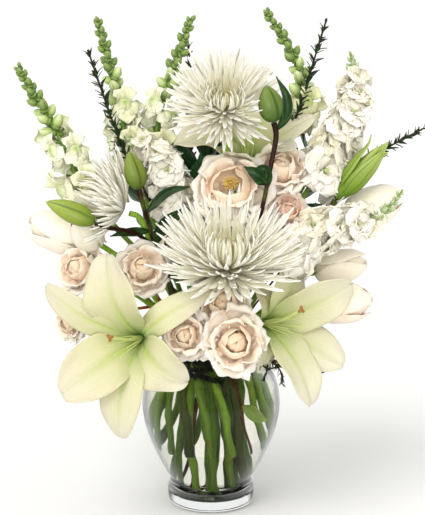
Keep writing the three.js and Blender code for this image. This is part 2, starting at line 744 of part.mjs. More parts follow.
// The frame of a floret that leaves a stem at a share of its length.
function onStem(path, share, bearing, lean) {
	const along = path.getTangent(share).normalize();
	const aside = new THREE.Vector3().crossVectors(along, new THREE.Vector3(0, 1, 0)).normalize()
		.applyAxisAngle(along, radians(bearing));
	const faces = aside.multiplyScalar(Math.sin(radians(lean))).addScaledVector(along, Math.cos(radians(lean)));
	return placed({ at: path.getPoint(share).toArray(), faces: faces.toArray() });
}

// A snapdragon: open two-lipped florets below, swelling buds above, and tight green buds at the tip.
function makeSnapdragon(name) {
	const { main, rods } = stems.get(name);
	const start = main.shareAt(PLANTS[name].lowest);
	const florets = 5;
	const buds = 9;
	const parts = [];
	for (let i = 0; i < florets + buds; i++) {
		const share = start + (0.99 - start) * (i / (florets + buds - 1)) ** 0.9;
		const frame = (lean) => onStem(main, share, GOLDEN_ANGLE * i, lean);
		if (i < florets) {
			const size = 1 - 0.45 * i / florets;
			parts.push((easing) => floret(13 * size * (1 - 0.5 * easing), 17 * size, 3)
				.applyMatrix4(frame(62 - 45 * easing)));
		} else {
			const length = 17 - 10 * (i - florets) / buds;
			parts.push((easing) => ball(length * 0.38, length * 0.5, 1.35, 4, 3).applyMatrix4(frame(48 - 30 * easing)));
		}
	}
	grow(name, new THREE.Matrix4(), COLOUR.snapdragon, parts, rods);
}

// A stock: a dense column of ruffled florets with a few small buds at the tip.
function makeStock(name) {
	const { main, rods } = stems.get(name);
	const { lowest, size } = PLANTS[name];
	const start = main.shareAt(lowest);
	const florets = 11;
	const buds = 2;
	const parts = [];
	for (let i = 0; i < florets + buds; i++) {
		const share = start + (0.99 - start) * i / (florets + buds - 1);
		const frame = (lean) => onStem(main, share, GOLDEN_ANGLE * i, lean);
		if (i < florets) {
			const face = size * (1 - 0.35 * i / florets);
			parts.push((easing) => floret(face * (1 - 0.5 * easing), face, 3)
				.applyMatrix4(frame(72 - 45 * easing)));
		} else {
			parts.push((easing) => ball(2.6, 7, 2.4, 4, 3).applyMatrix4(frame(38 - 25 * easing)));
		}
	}
	grow(name, new THREE.Matrix4(), COLOUR.stock, parts, rods);
}

// ---------------------------------------------------------------- greenery

// A leaf that stands on the origin and arches over as it rises.
const leafBlade = (length, width, arch) => blade({
	rib: [[0, 0], [0.1 * arch, length * 0.4], [0.45 * arch, length * 0.75], [arch, length]],
	width,
	shape: LEAF_OUTLINE,
	cup: -0.2,
	along: 2,
	thickness: LEAF_THICKNESS,
});

const NEEDLE_LENGTH = 14;

// A twig set with short stiff needles on all its faces, from its lowest needles to its tip.
function makeSprig(name) {
	const { main } = stems.get(name);
	const { lowest, radius, steps } = PLANTS[name];
	const twig = rod(main, radius, steps);
	const start = main.getPoint(main.shareAt(lowest)).z;
	const up = main.getPoint(1).sub(main.getPoint(main.shareAt(lowest))).normalize();
	growSpikes(name, new THREE.Matrix4(), COLOUR.sprig, twig, (from, normal, easing) => {
		const alongTwig = Math.abs(normal.dot(up)) > 0.8;
		if (from.z < start || alongTwig) return null;
		const length = NEEDLE_LENGTH * (1 - 0.7 * easing);
		return from.clone().addScaledVector(normal, length * 0.65).addScaledVector(up, length * 0.75);
	});
}

// A branch of broad leaves, one after another round it.
function makeFoliage(name) {
	const { main, rods } = stems.get(name);
	const { lowest, leaves } = PLANTS[name];
	const start = main.shareAt(lowest);
	const parts = [];
	for (let i = 0; i < leaves; i++) {
		const share = start + (0.98 - start) * i / (leaves - 1);
		parts.push((easing) => leafBlade(52 * (1 - 0.5 * easing), 11 * (1 - 0.3 * easing), 14)
			.applyMatrix4(onStem(main, share, GOLDEN_ANGLE * i, 50 - 25 * easing)));
	}
	grow(name, new THREE.Matrix4(), COLOUR.foliage, parts, rods);
}

// The frame of a leaf that runs along a line and turns its flat side to the viewer.
function turnedToViewer(root, along) {
	const up = along.clone().normalize();
	const flat = new THREE.Vector3(0, -1, 0).projectOnPlane(up).normalize();
	const aside = new THREE.Vector3().crossVectors(up, flat);
	return new THREE.Matrix4().makeBasis(flat, aside, up).setPosition(root);
}

// The stem of a plant whose flowers are separate, with the leaves that it carries.
function makeStem(name) {
	const { main, rods } = stems.get(name);
	const parts = [];
	for (const { height, tip, width } of PLANTS[name].leaves ?? []) {
		const root = main.getPoint(main.shareAt(height));
		const reach = vector(tip).sub(root);
		parts.push((easing) => leafBlade(reach.length() * (1 - 0.5 * easing), width * (1 - 0.3 * easing), 0)
			.applyMatrix4(turnedToViewer(root, reach)));
	}
	grow(nodeName(name), new THREE.Matrix4(), COLOUR.stem, parts, rods);
}

// ---------------------------------------------------------------- the bouquet

const plantsNamed = (kind) => Object.keys(PLANTS).filter((name) => name.startsWith(kind));

makeVase();
Object.keys(PLANTS).forEach(layStem);
for (const [side, lily] of Object.entries(LILY)) {
	makeLily(`lily_${side}`, lily);
	makePistil(`lily_${side}`, lily);
}
for (const [place, at] of Object.entries(BUD)) makeBud(`lily_bud_${place}`, at);
for (const [place, tulip] of Object.entries(TULIP)) makeTulip(`tulip_${place}`, tulip);
for (const [place, rose] of Object.entries(ROSE)) makeRose(`rose_${place}`, rose);
for (const [side, mum] of Object.entries(MUM)) makeMum(`mum_${side}`, mum);
plantsNamed('snapdragon').forEach(makeSnapdragon);
plantsNamed('stock').forEach(makeStock);
plantsNamed('sprig').forEach(makeSprig);
Object.keys(PLANTS).filter((name) => PLANTS[name].to).forEach(makeStem);
plantsNamed('foliage').forEach(makeFoliage);
makeWater();

export default bouquet;
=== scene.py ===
"""A mixed bouquet of white and cream flowers with greenery, in water in a footed clear glass vase.

The flowers, stems and leaves stand where the part's solids stand, in finer shapes. Sizes are in
millimetres, and each mesh is turned to metres as it is made.
"""

import math

import bpy
import numpy as np
from mathutils import Matrix, Quaternion, Vector


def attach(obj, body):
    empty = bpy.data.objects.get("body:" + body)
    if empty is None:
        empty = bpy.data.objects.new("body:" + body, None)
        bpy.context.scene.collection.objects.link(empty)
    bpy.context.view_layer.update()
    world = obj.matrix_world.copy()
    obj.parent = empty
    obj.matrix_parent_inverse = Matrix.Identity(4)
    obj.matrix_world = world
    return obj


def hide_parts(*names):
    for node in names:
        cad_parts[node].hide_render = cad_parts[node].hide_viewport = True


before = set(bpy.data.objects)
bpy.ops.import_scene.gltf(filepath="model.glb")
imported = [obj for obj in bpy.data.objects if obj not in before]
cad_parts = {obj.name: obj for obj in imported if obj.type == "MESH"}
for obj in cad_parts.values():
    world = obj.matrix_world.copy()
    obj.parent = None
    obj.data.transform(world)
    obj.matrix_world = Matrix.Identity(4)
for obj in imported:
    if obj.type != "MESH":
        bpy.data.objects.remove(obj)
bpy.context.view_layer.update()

# ---------------------------------------------------------------- vase
# A footed vase of clear soda glass, blown in a mould and fire polished: a thick flat foot with a
# shallow groove above it, a full round body, a narrow neck and a flared rim with a rounded lip.

MM = 0.001
VASE_FLOOR = 10
VASE_OUTSIDE = [
    (39.5, 0), (43, 2.5), (44.5, 8), (44.5, 17), (42, 26), (47, 35), (56, 52), (66.5, 80), (70, 108),
    (64, 133), (50, 149), (42.5, 160), (43.5, 167),
]
VASE_INSIDE = [
    (34, 10), (42, 29), (52.5, 52), (63, 80), (67, 108), (60.5, 132), (47, 148.5), (39.5, 160), (40.5, 167),
]
FOOT_HOLLOW = 1.2
LIP_MIDDLE, LIP_HEIGHT, LIP_RADIUS = 48.5, 175.5, 1.5


def travel(points):
    """How far along a line each of its points lies."""
    return np.concatenate([[0], np.cumsum(np.linalg.norm(np.diff(points, axis=0), axis=1))])


def smooth_path(points, count):
    """A centripetal curve through the points, as a number of evenly spaced points."""
    p = np.array(points, float)
    p = np.vstack([2 * p[0] - p[1], p, 2 * p[-1] - p[-2]])
    fine = []
    for a, b, c, d in zip(p, p[1:], p[2:], p[3:]):
        gaps = [max(np.linalg.norm(v - u), 1e-6) ** 0.5 for u, v in ((a, b), (b, c), (c, d))]
        t0, t1, t2, t3 = np.cumsum([0, *gaps])
        t = np.linspace(t1, t2, 25)[:-1, None]
        ab = a + (b - a) * (t - t0) / (t1 - t0)
        bc = b + (c - b) * (t - t1) / (t2 - t1)
        cd = c + (d - c) * (t - t2) / (t3 - t2)
        abc = ab + (bc - ab) * (t - t0) / (t2 - t0)
        bcd = bc + (cd - bc) * (t - t1) / (t3 - t1)
        fine.append(abc + (bcd - abc) * (t - t1) / (t2 - t1))
    fine = np.vstack([*fine, p[-2]])
    run = travel(fine)
    where = np.linspace(0, run[-1], count)
    return np.stack([np.interp(where, run, line) for line in fine.T], axis=1)


def new_object(name, data):
    made = bpy.data.objects.new(name, data)
    bpy.context.scene.collection.objects.link(made)
    return made


def set_numbers(mesh, name, values):
    """A number, or three, on each point of a mesh."""
    values = np.asarray(values, np.float32)
    kind, field = ("FLOAT", "value") if values.ndim == 1 else ("FLOAT_VECTOR", "vector")
    mesh.attributes.new(name, kind, "POINT").data.foreach_set(field, values.ravel())


def mesh_object(name, points, faces, uv=None, tint=None, material=None):
    """A smooth mesh from points in millimetres, with its own UV map and tint where it has them."""
    mesh = bpy.data.meshes.new(name)
    mesh.from_pydata((np.asarray(points) * MM).tolist(), [], [list(map(int, f)) for f in faces])
    mesh.shade_smooth()
    if uv is not None:
        layer = mesh.uv_layers.new(name="UVMap")
        corner = np.zeros(len(mesh.loops), np.int32)
        mesh.loops.foreach_get("vertex_index", corner)
        layer.data.foreach_set("uv", np.asarray(uv, np.float32)[corner].ravel())
    if tint is not None:
        set_numbers(mesh, "tint", tint)
    if material:
        mesh.materials.append(material)
    return new_object(name, mesh)


def lathe(profile, sides=96):
    """The points and faces of a profile turned round the upright axis, closed where it meets it."""
    turn = np.linspace(0, 2 * math.pi, sides, endpoint=False)
    points, rows, faces = [], [], []
    for radius, height in profile:
        around = sides if radius else 1
        rows.append([len(points) + i % around for i in range(sides)])
        points += [(radius * math.cos(a), radius * math.sin(a), height) for a in turn[:around]]
    for low, high in zip(rows, rows[1:]):
        for i in range(sides):
            k = (i + 1) % sides
            faces.append(list(dict.fromkeys([low[i], low[k], high[k], high[i]])))
    return points, [face for face in faces if len(face) > 2]


def linear(colour):
    """A linear colour from an sRGB hex value."""
    parts = [int(colour[i : i + 2], 16) / 255 for i in (1, 3, 5)]
    return (*((c / 12.92 if c <= 0.04045 else ((c + 0.055) / 1.055) ** 2.4) for c in parts), 1)


def feed(made, inputs):
    """Sets a node's inputs. Each is a value, a hex colour, an output, or a node for its first live output."""
    for key, value in inputs.items():
        if isinstance(value, str) and value.startswith("#"):
            value = linear(value)
        if isinstance(value, bpy.types.Node):
            value = next(output for output in value.outputs if output.enabled)
        if isinstance(value, bpy.types.NodeSocket):
            made.id_data.links.new(value, made.inputs[key])
        else:
            made.inputs[key].default_value = value
    return made


def node(tree, kind, inputs=None, **settings):
    """Adds a node with its settings and links. A plain kind is one of the tree's own kinds."""
    own = "GeometryNode" if tree.type == "GEOMETRY" else "ShaderNode"
    made = tree.nodes.new(kind if "Node" in kind else own + kind)
    for key, value in settings.items():
        setattr(made, key, value)
    return feed(made, inputs or {})


def finish(name, values):
    """A new material, its node tree and its shader, with plain values on the shader's own sockets."""
    material = bpy.data.materials.new(name)
    material.use_nodes = True
    return material, material.node_tree, feed(material.node_tree.nodes["Principled BSDF"], values)


def coat(shader, colour, height, strength, depth, **settings):
    """Gives a shader its colour and a fine relief, as deep as the depth in metres."""
    relief = {"Height": height, "Strength": strength, "Distance": depth}
    feed(shader, {"Base Color": colour, "Normal": node(shader.id_data, "Bump", relief, **settings)})


def place_piece(piece, cad_node):
    """Stands a finished piece for its CAD node, on the one body."""
    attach(piece, "root")
    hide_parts(cad_node)


# Soda glass, fire polished: clear, with a faint green, and slight swells that bend what is behind it.
soda_glass, tree, shader = finish("soda_glass_fire_polished", {
    "Roughness": 0.0, "IOR": 1.5, "Transmission Weight": 1.0})
where = node(tree, "TexCoord").outputs["Object"]
wander = node(tree, "TexNoise", {"Vector": where, "Scale": 22.0, "Detail": 1.0})
hue = node(tree, "Mix", {0: wander, 6: "#FAFDFB", 7: "#FEFFFE"}, data_type="RGBA")
coat(shader, hue, wander, 0.15, 0.001)

lip = [(LIP_MIDDLE + LIP_RADIUS * math.cos(a), LIP_HEIGHT + LIP_RADIUS * math.sin(a))
       for a in np.linspace(0, math.pi, 7)]
outside = smooth_path(VASE_OUTSIDE, 70).tolist()
inside = smooth_path(VASE_INSIDE, 60).tolist()
under = [(0, FOOT_HOLLOW), (34, FOOT_HOLLOW), (38, 0)]
points, faces = lathe([*under, *outside[1:], *lip, *inside[::-1], (0, VASE_FLOOR)])
place_piece(mesh_object("vase_glass", points, faces, material=soda_glass), "vase")

# ---------------------------------------------------------------- water
# Still clear water to a little below the neck. It follows the inside of the glass and climbs it by a
# millimetre or two at its edge.

WATER_TOP = 148
WATER_GAP = 0.12

# Clear water: it bends light and mirrors nothing here, and it is a little warmer low down.
clear_water, tree, shader = finish("clear_water", {
    "Roughness": 0.0, "IOR": 1.333, "Specular Tint": (0, 0, 0, 1), "Transmission Weight": 1.0})
depth = node(tree, "SeparateXYZ", {"Vector": node(tree, "TexCoord").outputs["Object"]}).outputs["Z"]
shade = node(tree, "MapRange", {"Value": depth, "From Max": 0.15})
hue = node(tree, "Mix", {0: shade, 6: "#FAF6E8", 7: "#FFFBF2"}, data_type="RGBA")
feed(shader, {"Base Color": hue})

bottom = VASE_FLOOR + WATER_GAP
wet = [(r - WATER_GAP, max(z, bottom)) for r, z in inside if z < WATER_TOP]
edge = wet[-1][0]
climb = [(edge + 0.2, WATER_TOP + 1.2), (edge - 1.5, WATER_TOP + 0.2), (edge - 5, WATER_TOP)]
points, faces = lathe([(0, bottom), *wet, *climb, (0, WATER_TOP)])
place_piece(mesh_object("water_body", points, faces, material=clear_water), "water")

# ---------------------------------------------------------------- stems of the bunch
# Fresh cut stems of a spiral hand-tied bunch: they stand on the vase's floor, cross through the neck
# and fan out to the flowers. Round and fleshy, paler under water, some with a red-brown bark.

NECK_PLANE = 165
TWIST_PER_MM = 0.3
NECK_RISE = 14
STRAIGHT_END = 11
SWAY = 1.6
RINGS = {  # radius in the neck, spread at the cut end, height of the cut end
    "middle": (0, 1, 12), "inner": (9.5, 1.6, 12), "outer": (21.5, 1.35, 14), "glass": (33, 1.5, 62),
}
SCAR_SPACING = 31
SCAR_LENGTH = 4.5
SCAR_SWELLING = 0.3
UPPER_FROM, UPPER_OVER = 190, 60  # the heights over which a stem changes, above the vase


def polar(radius, degrees, height):
    turn = math.radians(degrees)
    return np.array([radius * math.cos(turn), radius * math.sin(turn), height])


def unit(v):
    return np.asarray(v, float) / np.linalg.norm(v)


def facing(faces):
    """The rotation matrix that turns a piece's own up to the way that it faces."""
    turn = Vector((0, 0, 1)).rotation_difference(Vector(unit(faces).tolist()))
    return np.array(turn.to_matrix())


def upright(faces, toward):
    """The rotation matrix of a piece that faces one way and has its own +X turned towards another."""
    up = unit(faces)
    front = unit(np.asarray(toward) - up * np.dot(toward, up))
    return np.stack([front, np.cross(up, front), up], axis=1)


class Strands:
    """Lines that become round strands, with a thickness and a tint at each point."""

    def __init__(self):
        self.points, self.edges, self.numbers = [], [], {"thickness": [], "tint": []}

    def add(self, points, thickness, tint):
        start, n = len(self.points), len(points)
        self.points += list(points)
        self.edges += [(start + i, start + i + 1) for i in range(n - 1)]
        self.numbers["thickness"] += list(np.broadcast_to(thickness, n) * MM)
        self.numbers["tint"] += list(np.broadcast_to(tint, n))


def arrival(flower):
    """The last two points of a stem that comes into a flower straight from behind."""
    end = np.array(flower["at"], float)
    return [end - STRAIGHT_END * unit(flower["faces"]), end]


def lay_stem(plant, radius, tint, to=None, slimmer=0, browner=0, taper=0):
    """The strands of a plant's stem and stalks, and its main stem's points from the cut end up.

    It swells at each scar, where a leaf was stripped, and thins upwards. Above the vase it may be slimmer
    and browner, and it may taper to its end.
    """
    ring, bearing = plant["place"]
    out, spread, low = RINGS[ring]
    neck = polar(out, bearing, NECK_PLANE)
    cut = polar(out * spread, bearing + TWIST_PER_MM * (NECK_PLANE - low), low)
    share = np.linspace(0, 1, 24)[:-1, None]
    sway = SWAY * np.sin(np.pi * share) * np.sin(11 * share + bearing)
    below = cut + share * (neck - cut) + sway * unit(np.cross(neck - cut, (0, 1, 0)))
    to = to or plant.get("to")
    rise = neck + unit(neck - cut) * NECK_RISE
    main = np.vstack([below, smooth_path([neck, rise, *plant["through"], *(arrival(to) if to else [])], 90)])
    run = travel(main)
    scar = np.exp(-(((run + 9) % SCAR_SPACING - SCAR_SPACING / 2) / SCAR_LENGTH) ** 2)
    thickness = radius * (1.04 - 0.16 * run / run[-1]) * (1 + SCAR_SWELLING * scar)
    upper = np.clip((main[:, 2] - UPPER_FROM) / UPPER_OVER, 0, 1)
    end = np.clip(np.linspace(-1.2, 1, len(main)), 0, 1)
    strands = Strands()
    strands.add(main, thickness * ((1 - slimmer * upper) * (1 - taper * end)), tint + browner * upper)
    for height, through, flower in plant.get("stalks", []):
        stalk = smooth_path([main[np.argmax(main[:, 2] >= height)], *through, *arrival(flower)], 40)
        strands.add(stalk, radius * (0.52 + 0.2 * np.linspace(0, 1, 40) ** 6), tint + browner + 0.35)
    return strands, main


def new_tree(name, **inputs):
    """A Geometry Nodes tree with named inputs, and what comes in."""
    tree = bpy.data.node_groups.new(name, "GeometryNodeTree")
    tree.interface.new_socket("Geometry", in_out="OUTPUT", socket_type="NodeSocketGeometry")
    for key, kind in {"Geometry": "Geometry", **inputs, "Finish": "Material"}.items():
        tree.interface.new_socket(key, in_out="INPUT", socket_type="NodeSocket" + kind)
    return tree, node(tree, "NodeGroupInput").outputs


def end_tree(tree, made, given):
    """What goes out of a tree: real geometry with its finish."""
    real = node(tree, "RealizeInstances", {"Geometry": made})
    done = node(tree, "SetMaterial", {"Geometry": real, "Material": given["Finish"]})
    node(tree, "NodeGroupOutput", {0: done})


def run_tree(name, base, tree, **inputs):
    """A Geometry Nodes tree's result on points or lines that carry numbers, as a plain mesh object."""
    mesh = bpy.data.meshes.new(name + "_base")
    mesh.from_pydata((np.array(base.points) * MM).tolist(), base.edges, [])
    for key, values in base.numbers.items():
        set_numbers(mesh, key, values)
    made = new_object(name + "_base", mesh)
    sockets = {s.name: s.identifier for s in tree.interface.items_tree if s.in_out == "INPUT"}
    modifier = made.modifiers.new("nodes", "NODES")
    modifier.node_group = tree
    for key, value in inputs.items():
        modifier[sockets[key]] = value
    bpy.context.view_layer.update()
    result = bpy.data.meshes.new_from_object(made.evaluated_get(bpy.context.evaluated_depsgraph_get()))
    made.modifiers.clear()
    bpy.data.objects.remove(made)
    result.name = name
    return new_object(name, result)


# Lines become round strands with closed ends.
strands_on_lines, given = new_tree("strands", Sides="Int")
lines = node(strands_on_lines, "MeshToCurve", {"Mesh": given["Geometry"]})
ring = node(strands_on_lines, "CurvePrimitiveCircle", {"Resolution": given["Sides"], "Radius": 1.0})
thick = node(strands_on_lines, "InputNamedAttribute", {"Name": "thickness"}, data_type="FLOAT")
round_strands = node(strands_on_lines, "CurveToMesh", {
    "Curve": lines, "Profile Curve": ring, "Scale": thick, "Fill Caps": True})
end_tree(strands_on_lines, node(strands_on_lines, "SetShadeSmooth", {"Geometry": round_strands}), given)


def place_strands(name, strands, skin, sides, cad_node):
    """The strands as one plain mesh, placed."""
    place_piece(run_tree(name, strands, strands_on_lines, Sides=sides, Finish=skin), cad_node)


def stem_finish(name, fresh, old, bark, shine=0.42, gloss=0.15):
    """Plant skin with a thin wax: streaks along the stem, and blotches of an older colour."""
    material, tree, shader = finish(name, {
        "Roughness": shine, "Specular IOR Level": gloss, "Subsurface Weight": 0.08,
        "Subsurface Radius": (0.6, 1.0, 0.3), "Subsurface Scale": 0.002})
    where = node(tree, "TexCoord").outputs["Object"]
    stretch = node(tree, "Mapping", {"Vector": where, "Scale": (900, 900, 40)})
    streak = node(tree, "TexNoise", {"Vector": stretch, "Scale": 1.0, "Detail": 3.0})
    blotch = node(tree, "TexNoise", {"Vector": where, "Scale": 60.0, "Detail": 4.0})
    tint = node(tree, "Attribute", attribute_name="tint").outputs["Fac"]
    green = node(tree, "Mix", {0: streak, 6: fresh, 7: old}, data_type="RGBA")
    spread = node(tree, "Math", {0: blotch, 1: tint}, operation="MULTIPLY")
    share = node(tree, "MapRange", {"Value": spread, "From Min": 0.3, "From Max": 0.55})
    skin = node(tree, "Mix", {0: share, 6: green, 7: bark}, data_type="RGBA")
    coat(shader, skin, streak, 0.5, 0.0004)
    return material


# Soft stems: fresh green, waxy enough for a dull shine, with a few red-brown blotches.
green_stem_skin = stem_finish("green_stem_skin", "#B2D84C", "#6C9C30", "#62341A")

# ---------------------------------------------------------------- lilies
# Three open cream lilies, each of three broad inner and three narrower outer tepals from one green
# throat. A tepal is thin and fleshy, grooved along its middle, waved at its edges, and curls back.

LILIES = {
    "left": dict(
        at=(-64, -62, 186), faces=(-0.42, -0.9, 0.02),
        tips=[(-96, -82, 268), (-4, -78, 236), (-25, -98, 150), (-86, -92, 95), (-140, -95, 137),
              (-158, -62, 234)],
        widths=[0.32, 0.18, 0.4, 0.24, 0.38, 0.16], style=(-6, 9),
    ),
    "right": dict(
        at=(48, -54, 198), faces=(0.55, -0.8, 0.1),
        tips=[(135, -62, 236), (127, -78, 164), (96, -92, 128), (45, -70, 153), (43, -45, 236),
              (79, -30, 257)],
        widths=[0.29, 0.35, 0.25, 0.22, 0.3, 0.27], style=(-8, 20),
    ),
    "back": dict(
        at=(36, 15, 335), faces=(0, -0.4, 0.9),
        tips=[(-35, 8, 367), (5, 78, 385), (70, 84, 382), (102, 10, 393), (80, -32, 365), (20, -52, 362)],
        widths=[0.36, 0.28, 0.36, 0.28, 0.36, 0.28], style=(-18, -6),
    ),
}
LILY_ARCH = np.array([(0.04, 0.04), (0.09, 0.17), (0.25, 0.34), (0.52, 0.4), (0.8, 0.24), (1, 0)])


def outline(base, widest, bluntness, u):
    """How a petal's half width changes along it, from its base through its widest place to its tip."""
    rising = base + (1 - base) * np.sin(np.pi / 2 * np.clip(u / widest, 0, 1))
    falling = np.cos(np.pi / 2 * np.clip((u - widest) / (1 - widest), 0, 1)) ** bluntness
    return np.where(u < widest, rising, falling)


def stood(points, flower):
    """Points of a flower's own frame, where the flower stands."""
    return np.asarray(points) @ facing(flower["faces"]).T + np.array(flower["at"])


class Sheets:
    """A set of petals or leaves that becomes one mesh: each is a closed thin solid."""

    def __init__(self):
        self.points, self.faces, self.uv, self.tint = [], [], [], []

    def add(self, middle, thickness, tint=0.5):
        """One sheet from the grid of points on its middle, [along, across]."""
        rows, columns = middle.shape[:2]
        normal = np.cross(np.gradient(middle, axis=0), np.gradient(middle, axis=1))
        normal /= np.maximum(np.linalg.norm(normal, axis=2, keepdims=True), 1e-9)
        start = sum(len(p) for p in self.points)
        sides = [middle + normal * (thickness / 2), middle - normal * (thickness / 2)]
        self.points.append(np.concatenate(sides).reshape(-1, 3))
        across, along = np.meshgrid(np.linspace(0, 1, columns), np.linspace(0, 1, rows))
        self.uv.append(np.tile(np.stack([across, along], axis=2).reshape(-1, 2), (2, 1)))
        self.tint.append(np.full(2 * rows * columns, tint))
        place = np.arange(rows * columns).reshape(rows, columns)
        corners = [place[:-1, :-1], place[1:, :-1], place[1:, 1:], place[:-1, 1:]]
        top = np.stack(corners, axis=2).reshape(-1, 4)
        under = top[:, ::-1] + rows * columns
        rim = np.concatenate([place[:-1, 0], place[-1, :-1], place[:0:-1, -1], place[0, :0:-1]])
        after = np.roll(rim, -1)
        side = np.stack([rim + rows * columns, after + rows * columns, after, rim], axis=1)
        self.faces.append(np.concatenate([top, under, side]) + start)

    def piece(self, name, material=None, flower=None, tinted=True):
        """The sheets as one mesh, where its flower stands. An untinted one takes its copies' tints."""
        points = np.concatenate(self.points)
        if flower:
            points = stood(points, flower)
        return mesh_object(name, points, np.concatenate(self.faces).tolist(), np.concatenate(self.uv),
                           np.concatenate(self.tint) if tinted else None, material)


def petal(rib, half_width, grid, shape, cup=0.0, wave=0.0, waves=1.0, groove=0.0, crumple=0.0, wrap=0.0,
          sector=None, sway=0.0, phase=0.0, least=0.35):
    """A petal's middle, as a grid of points along and across it.

    Its rib is [outward, upward] points. It is flat across, or wrapped round the axis.
    """
    curve = smooth_path(rib, grid[0])
    u = np.linspace(0, 1, grid[0])[:, None]
    v = np.linspace(-1, 1, grid[1])[None, :]
    slope = np.gradient(curve, axis=0)
    slope /= np.linalg.norm(slope, axis=1, keepdims=True)
    out, up = curve[:, :1], curve[:, 1:]
    width = half_width * shape(u)
    if sector:
        width = np.minimum(width, np.maximum(out, 0) * math.tan(math.radians(sector)))
    width = np.maximum(width, least)
    edge = np.abs(v) ** 2.5
    swing = np.sin(2 * np.pi * waves * u + phase + 2.2 * np.sign(v))
    waved = wave * half_width * edge * swing * np.clip(4 * u * (1.15 - u), 0, 1)
    grooved = groove * half_width * np.exp(-((v / 0.09) ** 2)) * (1 - u * 0.8)
    crumpled = crumple * half_width * u * np.sin(9 * u + 2 * v + phase) * np.sin(4.6 * v - 3 * u + 3 * phase)
    lift = cup * width * v**2 + waved - grooved + crumpled
    far = out - slope[:, 1:] * lift
    high = up + slope[:, :1] * lift
    if wrap:
        turn = math.radians(wrap) * np.maximum(shape(u), 0.04) * v
        return np.stack([far * np.cos(turn), far * np.sin(turn) + sway * u**2, high + 0 * turn], axis=2)
    return np.stack([far + 0 * v, width * v + sway * u**2, high + 0 * v], axis=2)


def turned(middle, degrees):
    c, s = math.cos(math.radians(degrees)), math.sin(math.radians(degrees))
    return middle @ np.array([[c, -s, 0], [s, c, 0], [0, 0, 1]]).T


def on_sheet(tree):
    """A point's place on its sheet: both ways, along it, and its distance from the middle line."""
    spot = node(tree, "UVMap", uv_map="UVMap")
    part = node(tree, "SeparateXYZ", {"Vector": spot}).outputs
    off = node(tree, "Math", {0: part["X"], 1: 0.5}, operation="SUBTRACT")
    return spot, part["Y"], node(tree, "Math", {0: off}, operation="ABSOLUTE")


def petal_finish(name, base, middle, edge, midrib, other, vein, veins, roughness=0.5, glow=0.25, deep=0.001,
                 midrib_reach=0.55, base_reach=0.3, vein_strength=0.16, throat=None):
    """Petal tissue: soft and slightly see-through, coloured along its length, with fine veins.

    A throat colour runs out of the base in fine lines.
    """
    material, tree, shader = finish(name, {
        "Roughness": roughness, "Subsurface Weight": glow, "Subsurface Radius": (1, 1, 1),
        "Subsurface Scale": deep, "Sheen Weight": 0.08})
    spot, along, apart = on_sheet(tree)
    ramp = node(tree, "ValToRGB", {"Fac": along})
    ramp.color_ramp.elements[0].color = linear(base)
    ramp.color_ramp.elements[1].color = linear(edge)
    ramp.color_ramp.elements.new(base_reach).color = linear(middle)
    near = node(tree, "MapRange", {"Value": apart, "From Max": 0.16, "To Min": 1.0, "To Max": 0.0},
                interpolation_type="SMOOTHSTEP")
    fade = node(tree, "MapRange", {
        "Value": along, "From Min": 0.05, "From Max": midrib_reach, "To Min": 1.0, "To Max": 0.0})
    ribbed = node(tree, "Math", {0: near, 1: fade}, operation="MULTIPLY")
    hue = node(tree, "Mix", {0: ribbed, 6: ramp, 7: midrib}, data_type="RGBA")
    tint = node(tree, "Attribute", attribute_name="tint").outputs["Fac"]
    hue = node(tree, "Mix", {0: tint, 6: hue, 7: other}, data_type="RGBA", blend_type="MULTIPLY")
    fine = node(tree, "Mapping", {"Vector": spot, "Scale": (veins, 1.6, 1)})
    streak = node(tree, "TexNoise", {"Vector": fine, "Scale": 1.0, "Detail": 3.0, "Roughness": 0.6})
    line = node(tree, "MapRange", {
        "Value": streak, "From Min": 0.5, "From Max": 0.72, "To Max": vein_strength})
    hue = node(tree, "Mix", {0: line, 6: hue, 7: vein}, data_type="RGBA")
    if throat:
        dark = node(tree, "MapRange", {"Value": streak, "From Min": 0.4, "From Max": 0.58})
        deepest = node(tree, "MapRange", {
            "Value": along, "From Min": 0.06, "From Max": 0.22, "To Min": 1.0, "To Max": 0.0})
        drawn = node(tree, "Math", {0: dark, 1: deepest}, operation="MULTIPLY")
        hue = node(tree, "Mix", {0: drawn, 6: hue, 7: throat}, data_type="RGBA")
    where = node(tree, "TexCoord").outputs["Object"]
    mottle = node(tree, "TexNoise", {"Vector": where, "Scale": 350.0, "Detail": 3.0})
    coat(shader, hue, node(tree, "Math", {0: streak, 1: mottle}, operation="ADD"), 0.6, 0.0008)
    return material


